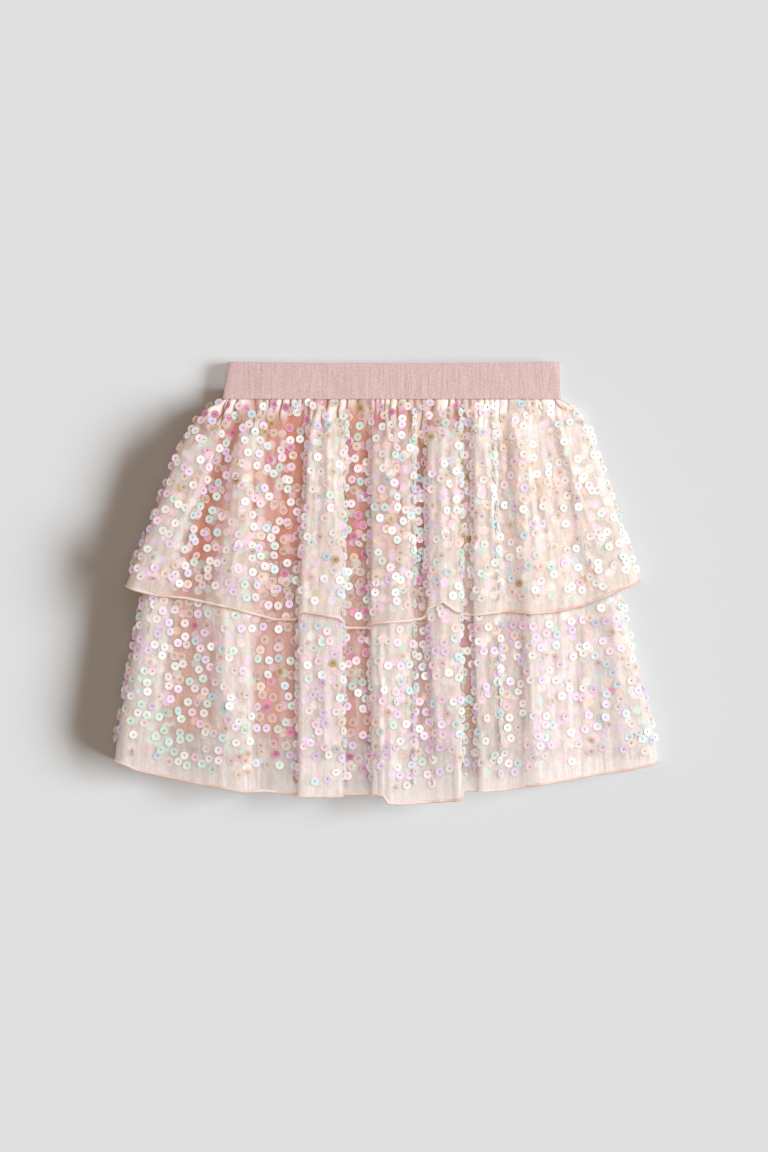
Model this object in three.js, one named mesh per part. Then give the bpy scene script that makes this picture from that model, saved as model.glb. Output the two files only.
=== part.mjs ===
// A child's sequinned tulle skirt in two tiers, lying flat on its back with the front up.
// Millimetres: +X to the right as seen from above, +Y towards the waistband, +Z up off the table.
// The origin lies on the table under the middle of the skirt.
//
// Every panel is a thin wall of cloth. A panel's points run across in columns and down in rows.
// The folds of both front tiers come from one table, so the tiers nest in each other.

import * as THREE from 'three';

// Cloth
const WALL = 1.1;
const ELASTIC_WALL = 2;
const GAP = 0.3;
const LAYER = WALL + GAP;

// Waistband, a loop of elastic pressed flat
const BAND_BOTTOM = 132.3;
const BAND_TOP = 159.3;
const BAND_TOP_SAG = 1;
const BAND_THICKNESS = 5.3;
const BAND_ROWS = 4;
const BAND_SIDES = [
  { y: BAND_BOTTOM, left: -118.4, right: 125.9 },
  { y: BAND_TOP, left: -113.9, right: 124.6 },
];

// Heights along the skirt at which the folds are given
const SEAM_Y = BAND_BOTTOM - GAP;
const UPPER_HEM_Y = -22;
const LOWER_HEM_Y = -150;

// The lower tier and the lining
const LOWER_SEAM_Y = 16;
const LINING_HEM_Y = { side: -105, middle: -114 };
const UPPER_BACK_HEM_Y = { side: -3, middle: -21 };
const LOWER_BACK_HEM_Y = { side: -124, middle: -141 };

// Side outlines, where each tier turns over to the back
const UPPER_SIDES = [
  { y: 132, left: -118.5, right: 126 },
  { y: 125, left: -132, right: 139.5 },
  { y: 110, left: -142, right: 147.5 },
  { y: 93, left: -152, right: 153.3 },
  { y: 74, left: -158.6, right: 159 },
  { y: 50, left: -167.5, right: 167 },
  { y: 22, left: -180, right: 176.6 },
  { y: 4, left: -186, right: 182.8 },
  { y: -2, left: -188.5, right: 183.7 },
];
const LOWER_SIDES = [
  { y: 16, left: -170, right: 162.5 },
  { y: -9, left: -176, right: 170 },
  { y: -34, left: -180.5, right: 175.7 },
  { y: -62, left: -186, right: 182.5 },
  { y: -85, left: -190, right: 188 },
  { y: -106, left: -194, right: 193 },
  { y: -128, left: -196.4, right: 196.4 },
];
const LINING_SIDES = [
  { y: 132, left: -113.5, right: 121 },
  { y: 100, left: -126, right: 131 },
  { y: 16, left: -150, right: 149 },
  { y: -105, left: -166, right: 164 },
];

// Corners of the front hems, where the side outlines end
const UPPER_CORNERS = { left: -2, right: 1.4 };
const LOWER_CORNERS = { left: -127.7, right: -128.9 };

// Each row is the crest or the floor of a fold, from left to right.
// waistX, hemX, lowX: where it lies at the waist seam, the upper hem and the lower hem.
// hemY, lowY: how far down the two hems reach there.
// rise, lowRise: its height above the layers underneath, at the upper hem and the lower hem.
const FOLDS = [
  { waistX: -114, hemX: -170, lowX: -182.5, hemY: -9, lowY: -134, rise: 9, lowRise: 9 },
  { waistX: -109, hemX: -146.5, lowX: -148.5, hemY: -11, lowY: -142, rise: 3, lowRise: 4 },
  { waistX: -99, hemX: -111, lowX: -103, hemY: -18, lowY: -150, rise: 11, lowRise: 11 },
  { waistX: -62, hemX: -79.5, lowX: -86.5, hemY: -26.5, lowY: -150, rise: 2.5, lowRise: 2 },
  { waistX: -57, hemX: -66, lowX: -66.5, hemY: -26.5, lowY: -152.5, rise: 2, lowRise: 2 },
  { waistX: -51.5, hemX: -60, lowX: -60.5, hemY: -20.5, lowY: -153.5, rise: 11, lowRise: 10 },
  { waistX: -31.5, hemX: -34.5, lowX: -34.5, hemY: -25, lowY: -153.5, rise: 11.5, lowRise: 10 },
  { waistX: -26, hemX: -28.5, lowX: -28.5, hemY: -32.5, lowY: -152.5, rise: 3, lowRise: 2 },
  { waistX: -13.5, hemX: -14.5, lowX: -14, hemY: -32.5, lowY: -152, rise: 2, lowRise: 2 },
  { waistX: -8, hemX: -8.5, lowX: -7.5, hemY: -29, lowY: -152, rise: 10, lowRise: 9 },
  { waistX: -1, hemX: -2, lowX: -2, hemY: -28.5, lowY: -152.8, rise: 11.5, lowRise: 10.5 },
  { waistX: 5, hemX: 4, lowX: 1.5, hemY: -28, lowY: -158, rise: 12, lowRise: 11 },
  { waistX: 15, hemX: 14.5, lowX: 9, hemY: -27.5, lowY: -159.2, rise: 10, lowRise: 8.5 },
  { waistX: 24, hemX: 25, lowX: 28, hemY: -26, lowY: -158, rise: 2.5, lowRise: 6 },
  { waistX: 33.5, hemX: 34, lowX: 39, hemY: -16.5, lowY: -157, rise: 10, lowRise: 7.5 },
  { waistX: 40, hemX: 40.5, lowX: 46, hemY: -13.5, lowY: -156.6, rise: 12, lowRise: 9 },
  { waistX: 50, hemX: 50, lowX: 51.5, hemY: -20.5, lowY: -156.4, rise: 11, lowRise: 12 },
  { waistX: 56, hemX: 56, lowX: 57.5, hemY: -22.5, lowY: -149, rise: 3, lowRise: 2 },
  { waistX: 59.5, hemX: 59.5, lowX: 63, hemY: -23, lowY: -149.5, rise: 3, lowRise: 2 },
  { waistX: 65, hemX: 65.5, lowX: 69, hemY: -23, lowY: -149.8, rise: 10, lowRise: 8 },
  { waistX: 73, hemX: 77, lowX: 76.5, hemY: -21.5, lowY: -149.5, rise: 9, lowRise: 6 },
  { waistX: 79, hemX: 86, lowX: 87, hemY: -20.5, lowY: -148.7, rise: 3.5, lowRise: 5 },
  { waistX: 92, hemX: 104, lowX: 108.5, hemY: -22, lowY: -145, rise: 11, lowRise: 12 },
  { waistX: 106, hemX: 119.5, lowX: 125, hemY: -21, lowY: -143, rise: 8, lowRise: 7 },
  { waistX: 115, hemX: 143, lowX: 148, hemY: -16, lowY: -138.5, rise: 5, lowRise: 4.5 },
  { waistX: 121.5, hemX: 165, lowX: 178, hemY: -7.5, lowY: -134, rise: 9, lowRise: 9 },
];

// The columns at a side, from its outline inwards.
// turn: how far the cloth has turned down there, from flat (0) to upright (90 degrees).
// inward: the share of the way from the turned stretch to the first fold.
// hemShare: the share of the hem's fall from its corner to the first fold.
const SIDE_COLUMNS = [
  { turn: 90, inward: 0, hemShare: 0 },
  { turn: 62, inward: 0, hemShare: 0.06 },
  { turn: 34, inward: 0, hemShare: 0.2 },
  { turn: 12, inward: 0, hemShare: 0.4 },
  { turn: 0, inward: 0.35, hemShare: 0.65 },
];

// Small gathers under the waistband: every second column stands up, and they fade out downwards
const GATHER_HEIGHT = 2.2;
const GATHER_START = 0.4;
const GATHER_PEAK = 8;
const GATHER_LENGTH = 42;

// Distances over which the folds rise below a seam
const UPPER_RISE_LENGTH = 38;
const LOWER_RISE_LENGTH = 62;

// Heights of the layers. The lower tier lifts what lies on it between its seam and the upper hem.
const STEP_LENGTH = 10;
const STEP_TOP_Y = LOWER_SEAM_Y + 1;
const STEP_BOTTOM_Y = -27;
const LINING_STEP_Y = -116;
const NEST_ROOM = 1;

const COLOURS = {
  elastic: 0xdfbfbc,
  tulle: 0xf0d8cc,
  lining: 0xcb8a74,
};

// Heights at which the layers start and end a step
const STEPS = {
  aboveTop: STEP_TOP_Y + STEP_LENGTH,
  top: STEP_TOP_Y,
  bottom: STEP_BOTTOM_Y,
  belowBottom: STEP_BOTTOM_Y - STEP_LENGTH,
  lining: LINING_STEP_Y,
  belowLining: LINING_STEP_Y - STEP_LENGTH,
};

// Rows of each panel: level ones at these heights, then the shares of what is left down to the hem
const UPPER_FRONT_ROWS = {
  level: [SEAM_Y, 128, 121, 111, 98, 82, 63, 44, STEPS.aboveTop, STEPS.top],
  hemShares: [0.5, 1],
};
const LOWER_FRONT_ROWS = {
  level: [LOWER_SEAM_Y, 5, -9, STEPS.bottom, STEPS.belowBottom, -62, -88, STEPS.lining, STEPS.belowLining],
  hemShares: [1],
};
const UPPER_BACK_ROWS = { level: [SEAM_Y, 125, 110, 85, 50], hemShares: [0.5, 1] };
const LOWER_BACK_ROWS = {
  level: [LOWER_SEAM_Y, STEPS.bottom, STEPS.belowBottom, -85],
  hemShares: [1],
};
const LINING_ROWS = {
  level: [SEAM_Y, 100, 60, STEPS.aboveTop, STEPS.top, STEPS.bottom, STEPS.belowBottom],
  hemShares: [0.5, 1],
};

const mix = (a, b, t) => a + (b - a) * t;
const smooth = (from, to, value) => THREE.MathUtils.smoothstep(value, from, to);
const ramp = (from, to, value) => THREE.MathUtils.clamp((value - from) / (to - from), 0, 1);

// The value of one column of a table with falling y
function tableAt(table, y, column) {
  if (y >= table[0].y) return table[0][column];
  for (let row = 1; row < table.length; row += 1) {
    const above = table[row - 1];
    const below = table[row];
    if (y >= below.y) return mix(below[column], above[column], (y - below.y) / (above.y - below.y));
  }
  return table[table.length - 1][column];
}

// The heights at which a panel's column has its rows
function rowHeights(rows, hemY) {
  const last = rows.level[rows.level.length - 1];
  return [...rows.level, ...rows.hemShares.map((share) => mix(last, hemY, share))];
}

// 1 where the two tiers lie on each other, 0 elsewhere
const belowStepTop = (y) => 1 - ramp(STEPS.top, STEPS.aboveTop, y);
const doubled = (y) => belowStepTop(y) * ramp(STEPS.belowBottom, STEPS.bottom, y);

// Undersides of the flat layers
const lowerBackBase = (y) => LAYER * doubled(y);
const liningBackBase = (y) => LAYER * (1 + doubled(y));
const liningFrontBase = (y) => liningBackBase(y) + LAYER;

// Undersides of the folded layers, in the floors of their folds
function lowerFrontBase(y) {
  return mix(LAYER, liningFrontBase(y) + LAYER, ramp(STEPS.belowLining, STEPS.lining, y));
}
function upperFrontBase(y) {
  return mix(3 * LAYER, 5 * LAYER + NEST_ROOM, belowStepTop(y));
}

// Where a fold's crest or floor lies at height y
function foldX(fold, y) {
  if (y > UPPER_HEM_Y) {
    return mix(fold.hemX, fold.waistX, (y - UPPER_HEM_Y) / (SEAM_Y - UPPER_HEM_Y));
  }
  return mix(fold.lowX, fold.hemX, (y - LOWER_HEM_Y) / (UPPER_HEM_Y - LOWER_HEM_Y));
}

function foldRise(fold, y) {
  const down = THREE.MathUtils.clamp((UPPER_HEM_Y - y) / (UPPER_HEM_Y - LOWER_HEM_Y), 0, 1);
  return mix(fold.rise, fold.lowRise, down);
}

// The columns of a folded panel: the left side, the stretches between the folds, the right side
function foldedColumns(pitch) {
  const columns = SIDE_COLUMNS.map((turned) => ({ side: 'left', ...turned }));
  FOLDS.forEach((fold, index) => {
    columns.push({ index, share: 0 });
    const next = FOLDS[index + 1];
    if (!next) return;
    const steps = Math.max(2, Math.round((next.hemX - fold.hemX) / pitch));
    for (let step = 1; step < steps; step += 1) columns.push({ index, share: step / steps });
  });
  [...SIDE_COLUMNS].reverse().forEach((turned) => columns.push({ side: 'right', ...turned }));
  return columns;
}

// What a folded tier is made from: its own seam, sides, hem, base and how its folds grow
const UPPER_TIER = {
  pitch: 4.2,
  rows: UPPER_FRONT_ROWS,
  seamY: SEAM_Y,
  sides: UPPER_SIDES,
  corners: UPPER_CORNERS,
  hem: 'hemY',
  base: upperFrontBase,
  edge: () => LAYER,
  turnRadius: (y) => mix(3, 9, smooth(0, 24, SEAM_Y - y)),
  growth: (y) => smooth(0, UPPER_RISE_LENGTH, SEAM_Y - y),
};
const LOWER_TIER = {
  pitch: 5.6,
  rows: LOWER_FRONT_ROWS,
  seamY: LOWER_SEAM_Y,
  sides: LOWER_SIDES,
  corners: LOWER_CORNERS,
  hem: 'lowY',
  base: lowerFrontBase,
  edge: (y) => lowerBackBase(y) + LAYER,
  turnRadius: (y) => mix(5, 9, smooth(0, 36, LOWER_SEAM_Y - y)),
  growth: (y) => smooth(0, LOWER_RISE_LENGTH, LOWER_SEAM_Y - y),
};

function gatherHeight(tier, columnIndex, y) {
  const below = tier.seamY - y;
  const start = mix(GATHER_START, 1, smooth(0, GATHER_PEAK, below));
  const fade = 1 - smooth(GATHER_PEAK, GATHER_LENGTH, below);
  return columnIndex % 2 === 0 ? GATHER_HEIGHT * start * fade : 0;
}

// The height of the middle of a folded tier's cloth, on a stretch from fold a to fold b
function foldedHeight(tier, columnIndex, a, b, share, y) {
  const wave = (1 - Math.cos(Math.PI * share)) / 2;
  const rise = mix(foldRise(a, y), foldRise(b, y), wave) * tier.growth(y);
  return tier.base(y) + WALL / 2 + rise + gatherHeight(tier, columnIndex, y);
}

// The points of one column between two folds
function openColumn(tier, column, columnIndex) {
  const a = FOLDS[column.index];
  const b = FOLDS[column.index + 1] ?? a;
  return rowHeights(tier.rows, mix(a[tier.hem], b[tier.hem], column.share)).map((y) => {
    const x = mix(foldX(a, y), foldX(b, y), column.share);
    return new THREE.Vector3(x, y, foldedHeight(tier, columnIndex, a, b, column.share, y));
  });
}

// The points of one column at a side, where the cloth turns down on to the back
function sideColumn(tier, column, columnIndex) {
  const fold = column.side === 'left' ? FOLDS[0] : FOLDS[FOLDS.length - 1];
  const inwards = column.side === 'left' ? 1 : -1;
  const turn = THREE.MathUtils.degToRad(column.turn);
  const hemY = mix(tier.corners[column.side], fold[tier.hem], column.hemShare);
  return rowHeights(tier.rows, hemY).map((y) => {
    const reach = tier.turnRadius(y) * (1 - Math.sin(turn)) + WALL / 2;
    const turned = tableAt(tier.sides, y, column.side) + inwards * reach;
    const x = mix(turned, foldX(fold, y), column.inward);
    const top = foldedHeight(tier, columnIndex, fold, fold, 0, y);
    return new THREE.Vector3(x, y, mix(tier.edge(y), top, Math.cos(turn)));
  });
}

// A closed wall round a grid of middle points, given as columns from left to right
function wallGeometry(grid, thickness) {
  const columns = grid.length;
  const rows = grid[0].length;
  const positions = [];
  const across = new THREE.Vector3();
  const down = new THREE.Vector3();
  const faces = [1, -1];
  faces.forEach((sign) => {
    for (let row = 0; row < rows; row += 1) {
      for (let column = 0; column < columns; column += 1) {
        const leftPoint = grid[Math.max(column - 1, 0)][row];
        const rightPoint = grid[Math.min(column + 1, columns - 1)][row];
        const points = grid[column];
        across.subVectors(rightPoint, leftPoint);
        down.subVectors(points[Math.min(row + 1, rows - 1)], points[Math.max(row - 1, 0)]);
        const out = down.clone().cross(across);
        if (row === 0) out.y = 0;
        out.normalize();
        const point = points[row].clone().addScaledVector(out, (sign * thickness) / 2);
        positions.push(point.x, point.y, Math.max(point.z, 0));
      }
    }
  });

  const index = [];
  const at = (side, row, column) => side * rows * columns + row * columns + column;
  const quad = (a, b, c, d) => index.push(a, b, c, a, c, d);
  for (let row = 0; row + 1 < rows; row += 1) {
    for (let column = 0; column + 1 < columns; column += 1) {
      quad(at(0, row, column), at(0, row + 1, column), at(0, row + 1, column + 1), at(0, row, column + 1));
      quad(at(1, row, column), at(1, row, column + 1), at(1, row + 1, column + 1), at(1, row + 1, column));
    }
    quad(at(0, row, 0), at(1, row, 0), at(1, row + 1, 0), at(0, row + 1, 0));
    const end = columns - 1;
    quad(at(0, row, end), at(0, row + 1, end), at(1, row + 1, end), at(1, row, end));
  }
  for (let column = 0; column + 1 < columns; column += 1) {
    const end = rows - 1;
    quad(at(0, 0, column), at(0, 0, column + 1), at(1, 0, column + 1), at(1, 0, column));
    quad(at(0, end, column), at(1, end, column), at(1, end, column + 1), at(0, end, column + 1));
  }

  const geometry = new THREE.BufferGeometry();
  geometry.setAttribute('position', new THREE.Float32BufferAttribute(positions, 3));
  geometry.setIndex(index);
  geometry.computeVertexNormals();
  return geometry;
}

function foldedPanel(tier) {
  const grid = foldedColumns(tier.pitch).map((column, index) => {
    const points = column.side ? sideColumn : openColumn;
    return points(tier, column, index);
  });
  return wallGeometry(grid, WALL);
}

// A panel that lies flat, between its side outlines and a hem that sags in the middle
function flatPanel({ sides, hemY, base, rows, columns }) {
  const grid = [];
  for (let column = 0; column <= columns; column += 1) {
    const across = column / columns;
    const sag = 1 - (2 * across - 1) ** 2;
    const heights = rowHeights(rows, mix(hemY.side, hemY.middle, sag));
    grid.push(heights.map((y) => {
      const x = mix(tableAt(sides, y, 'left'), tableAt(sides, y, 'right'), across);
      return new THREE.Vector3(x, y, base(y) + WALL / 2);
    }));
  }
  return wallGeometry(grid, WALL);
}

// Half outline of the pressed loop in the XZ plane: straight top and bottom, round ends
function loopSection(left, right, thickness, roundSteps, straightSteps) {
  const radius = thickness / 2;
  const points = [];
  for (let step = 0; step <= roundSteps; step += 1) {
    const angle = mix(-Math.PI / 2, Math.PI / 2, step / roundSteps);
    points.push([right - radius + radius * Math.cos(angle), radius * Math.sin(angle)]);
  }
  for (let step = 1; step < straightSteps; step += 1) {
    points.push([mix(right - radius, left + radius, step / straightSteps), radius]);
  }
  for (let step = 0; step <= roundSteps; step += 1) {
    const angle = mix(Math.PI / 2, (3 * Math.PI) / 2, step / roundSteps);
    points.push([left + radius + radius * Math.cos(angle), radius * Math.sin(angle)]);
  }
  for (let step = 1; step < straightSteps; step += 1) {
    points.push([mix(left + radius, right - radius, step / straightSteps), -radius]);
  }
  return points;
}

// The elastic loop: an outer and an inner skin, joined at the two open edges
function bandGeometry() {
  const roundSteps = 6;
  const straightSteps = 12;
  const positions = [];
  let ring = 0;
  [0, ELASTIC_WALL].forEach((inset) => {
    for (let row = 0; row <= BAND_ROWS; row += 1) {
      const up = row / BAND_ROWS;
      const level = mix(BAND_BOTTOM, BAND_TOP, up);
      const left = mix(BAND_SIDES[0].left, BAND_SIDES[1].left, up) + inset;
      const right = mix(BAND_SIDES[0].right, BAND_SIDES[1].right, up) - inset;
      const section = loopSection(left, right, BAND_THICKNESS - 2 * inset, roundSteps, straightSteps);
      ring = section.length;
      section.forEach(([x, z]) => {
        const offCentre = (2 * x - left - right) / (right - left);
        const sag = BAND_TOP_SAG * up * (1 - offCentre ** 2);
        positions.push(x, level - sag, z + BAND_THICKNESS / 2);
      });
    }
  });

  const index = [];
  const skin = ring * (BAND_ROWS + 1);
  const quad = (a, b, c, d) => index.push(a, b, c, a, c, d);
  for (let point = 0; point < ring; point += 1) {
    const next = (point + 1) % ring;
    for (let row = 0; row < BAND_ROWS; row += 1) {
      const low = row * ring;
      const high = low + ring;
      quad(low + point, high + point, high + next, low + next);
      quad(skin + low + point, skin + low + next, skin + high + next, skin + high + point);
    }
    const top = BAND_ROWS * ring;
    quad(point, next, skin + next, skin + point);
    quad(top + point, skin + top + point, skin + top + next, top + next);
  }

  const geometry = new THREE.BufferGeometry();
  geometry.setAttribute('position', new THREE.Float32BufferAttribute(positions, 3));
  geometry.setIndex(index);
  geometry.computeVertexNormals();
  return geometry;
}

function clothMesh(name, geometry, color, roughness) {
  const material = new THREE.MeshStandardMaterial({ color, roughness, metalness: 0 });
  material.side = THREE.DoubleSide;
  const mesh = new THREE.Mesh(geometry, material);
  mesh.name = name;
  return mesh;
}

const upperBack = flatPanel({
  sides: UPPER_SIDES,
  hemY: UPPER_BACK_HEM_Y,
  base: () => 0,
  rows: UPPER_BACK_ROWS,
  columns: 24,
});
const lowerBack = flatPanel({
  sides: LOWER_SIDES,
  hemY: LOWER_BACK_HEM_Y,
  base: lowerBackBase,
  rows: LOWER_BACK_ROWS,
  columns: 24,
});
const liningPanel = (base) => flatPanel({
  sides: LINING_SIDES,
  hemY: LINING_HEM_Y,
  base,
  rows: LINING_ROWS,
  columns: 16,
});

const skirt = new THREE.Group();
skirt.add(
  clothMesh('waistband', bandGeometry(), COLOURS.elastic, 0.85),
  clothMesh('upper_tier_front', foldedPanel(UPPER_TIER), COLOURS.tulle, 0.6),
  clothMesh('upper_tier_back', upperBack, COLOURS.tulle, 0.6),
  clothMesh('lower_tier_front', foldedPanel(LOWER_TIER), COLOURS.tulle, 0.6),
  clothMesh('lower_tier_back', lowerBack, COLOURS.tulle, 0.6),
  clothMesh('lining_front', liningPanel(liningFrontBase), COLOURS.lining, 0.8),
  clothMesh('lining_back', liningPanel(liningBackBase), COLOURS.lining, 0.8),
);

export default skirt;
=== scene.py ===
# %% [markdown]
# A child's tulle skirt with two sequinned tiers, a lining and a wide elastic waistband. It lies
# flat on its back on a pale surface and is seen from straight above.
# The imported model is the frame: it fixes where the waist, the sides, the hems and the layers are.
# Everything here is modelled in that frame, in metres, so no piece has to be fitted afterwards.

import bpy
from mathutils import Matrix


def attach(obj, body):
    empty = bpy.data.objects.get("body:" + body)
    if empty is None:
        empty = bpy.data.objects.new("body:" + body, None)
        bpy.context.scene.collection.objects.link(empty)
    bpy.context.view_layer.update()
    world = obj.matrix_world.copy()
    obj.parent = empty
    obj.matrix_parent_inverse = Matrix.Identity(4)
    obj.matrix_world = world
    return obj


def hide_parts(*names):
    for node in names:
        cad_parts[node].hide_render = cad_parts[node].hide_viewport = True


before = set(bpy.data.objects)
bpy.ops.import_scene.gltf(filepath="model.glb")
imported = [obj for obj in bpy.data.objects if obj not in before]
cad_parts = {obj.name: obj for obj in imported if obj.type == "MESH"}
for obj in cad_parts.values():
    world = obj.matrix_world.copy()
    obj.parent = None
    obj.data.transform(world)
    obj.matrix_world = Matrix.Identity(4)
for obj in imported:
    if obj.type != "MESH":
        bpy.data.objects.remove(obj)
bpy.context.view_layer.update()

import math
from collections import namedtuple

import bmesh
import bpy
import numpy as np
from mathutils import Vector

scene = bpy.context.scene
MM = 0.001

# %% [markdown]
# The photograph is a plain shop picture, taken with a long lens from straight above the skirt. The
# camera's height follows from its lens, so that a pixel of the photograph is 0.72 mm of cloth.

# %% Camera
PHOTO = (768, 1152)
MM_PER_PIXEL = 0.72
SKIRT_CENTRE_PIXEL = (386.25, 583)
LENS_MM = 100
SENSOR_MM = 36
CLOTH_LEVEL = 6 * MM

photo_height = PHOTO[1] * MM_PER_PIXEL * MM
camera_data = bpy.data.cameras.new("camera")
camera_data.lens = LENS_MM
camera_data.sensor_width = SENSOR_MM
camera_data.clip_end = 20
camera = bpy.data.objects.new("camera", camera_data)
camera.location = (
    (PHOTO[0] / 2 - SKIRT_CENTRE_PIXEL[0]) * MM_PER_PIXEL * MM,
    (SKIRT_CENTRE_PIXEL[1] - PHOTO[1] / 2) * MM_PER_PIXEL * MM,
    CLOTH_LEVEL + photo_height * LENS_MM / SENSOR_MM,
)
scene.collection.objects.link(camera)
scene.camera = camera
print("camera height in m:", round(camera.location.z, 3))

# %% [markdown]
# The light is soft and comes from low on the right. It leaves a long brown shadow with a soft edge
# on the left, and yet the cloth is bright and even. One lamp can't do both, so light linking shares
# the work out. Five low suns, side by side, light only the floor, and their shadows overlap in one
# soft edge. An area lamp and two high suns light only the skirt. One of the two is small, for the
# glints on the sequins. The waistband's shadow is faint in the photograph, so the two low suns
# furthest towards the hem leave the waistband out of what blocks them. The sky colour fills both.

# %% Lights
FLOOR_ALBEDO = 0.76
FLOOR_LIGHT = (0.745, 0.745, 0.745)
FILL_LIGHT = (0.225, 0.178, 0.142)
LOW_HEIGHT = 14.2
LOW_SOFTNESS = 12
LOW_SIDES = {-28: 0.16, -18: 0.2, -8: 0.22, 3: 0.22, 14: 0.2}
PASSES_BAND_BELOW = -15
HIGH_SIZE = (2.0, 1.1)
HIGH_POWER = 13
HIGH_PLACE = (0.8, 0.25, 0.85)
HIGH_COLOUR = (1.0, 0.99, 0.985)


def soft_sun(name, side, height, irradiance, colour, softness):
    """A sun lamp from the given side and height, in degrees. Its irradiance is that on the floor."""
    data = bpy.data.lights.new(name, "SUN")
    data.energy = irradiance / math.sin(math.radians(height))
    data.color = colour
    data.angle = math.radians(softness)
    lamp = bpy.data.objects.new(name, data)
    side, height = math.radians(side), math.radians(height)
    level = math.cos(height)
    towards = Vector((math.cos(side) * level, math.sin(side) * level, math.sin(height)))
    lamp.rotation_euler = towards.to_track_quat("Z", "Y").to_euler()
    scene.collection.objects.link(lamp)
    return lamp


floor_only = bpy.data.collections.new("floor only")
skirt_only = bpy.data.collections.new("skirt only")
below_band = bpy.data.collections.new("skirt below the band")
low_colour = [(lit - fill) for lit, fill in zip(FLOOR_LIGHT, FILL_LIGHT)]
low_level = max(low_colour)
low_colour = [part / low_level for part in low_colour]
for side, share in LOW_SIDES.items():
    irradiance = low_level / FLOOR_ALBEDO * math.pi * share
    lamp = soft_sun("low light", side, LOW_HEIGHT, irradiance, low_colour, LOW_SOFTNESS)
    lamp.light_linking.receiver_collection = floor_only
    if side < PASSES_BAND_BELOW:
        lamp.light_linking.blocker_collection = below_band

high_data = bpy.data.lights.new("high light", "AREA")
high_data.shape = "RECTANGLE"
high_data.size, high_data.size_y = HIGH_SIZE
high_data.energy = HIGH_POWER
high_data.color = HIGH_COLOUR
high = bpy.data.objects.new("high light", high_data)
high.location = HIGH_PLACE
high.rotation_euler = high.location.to_track_quat("Z", "X").to_euler()
scene.collection.objects.link(high)
high.light_linking.receiver_collection = skirt_only
top = soft_sun("top light", side=60, height=80, irradiance=1.05, colour=(1.0, 0.99, 0.99), softness=110)
top.light_linking.receiver_collection = skirt_only
glint = soft_sun("glint light", side=20, height=83, irradiance=0.25, colour=(1.0, 1.0, 1.0), softness=9)
glint.light_linking.receiver_collection = skirt_only

world = bpy.data.worlds.new("studio")
world.use_nodes = True
background = world.node_tree.nodes["Background"]
background.inputs["Color"].default_value = (*[v / FLOOR_ALBEDO for v in FILL_LIGHT], 1)
background.inputs["Strength"].default_value = 1.0
scene.world = world
scene.view_settings.view_transform = "Standard"
scene.cycles.transparent_max_bounces = 40
scene.cycles.max_bounces = 8
scene.cycles.use_denoising = True
print("low suns:", len(LOW_SIDES), "with the waistband left out:", sum(s < PASSES_BAND_BELOW for s in LOW_SIDES))

# %% [markdown]
# Small helpers come next. They mix numbers, read a short table of named columns at any height, and
# turn an 8-bit screen colour into the linear colour that a shader works with.

# %% Helpers for numbers and colours
def mix(a, b, share):
    return a + (b - a) * share


def smooth(low, high, value):
    share = np.clip((value - low) / (high - low), 0, 1)
    return share * share * (3 - 2 * share)


def ramp(low, high, value):
    return np.clip((value - low) / (high - low), 0, 1)


def along(table, y, column):
    """The value of a column of a table at height y. The table's rows go down."""
    rows = table[::-1]
    return np.interp(y, [row.y for row in rows], [getattr(row, column) for row in rows])


def screen(red, green, blue, alpha=1.0):
    """A linear colour from the 8-bit values of a screen."""
    linear = []
    for value in (red, green, blue):
        part = value / 255
        linear.append(part / 12.92 if value < 11 else ((part + 0.055) / 1.055) ** 2.4)
    return (*linear, alpha)


# %% [markdown]
# The main sizes of the skirt, in millimetres, as the model has them: the side outline of each
# layer, the hems and the folds. A fold row is the crest or the floor of one flute. It says where
# the flute lies at the waist, at the upper hem and at the lower hem, and how high it stands.

# %% The skirt's own sizes
Side = namedtuple("Side", "y left right")
UPPER_SIDES = [
    Side(136, -115, 123), Side(132.3, -118.5, 126), Side(125, -132, 139.5), Side(110, -142, 147.5),
    Side(93, -152, 153.3), Side(74, -158.6, 159), Side(50, -167.5, 167), Side(22, -180, 176.6),
    Side(4, -186, 182.8), Side(-2, -188.5, 183.7),
]
LOWER_SIDES = [
    Side(16, -170, 162.5), Side(-9, -176, 170), Side(-34, -180.5, 175.7), Side(-62, -186, 182.5),
    Side(-85, -190, 188), Side(-106, -194, 193), Side(-128, -196.4, 196.4),
]
LINING_SIDES = [
    Side(135, -113, 121), Side(132, -113.5, 121), Side(100, -126, 131), Side(16, -150, 149),
    Side(-105, -166, 164),
]

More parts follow.
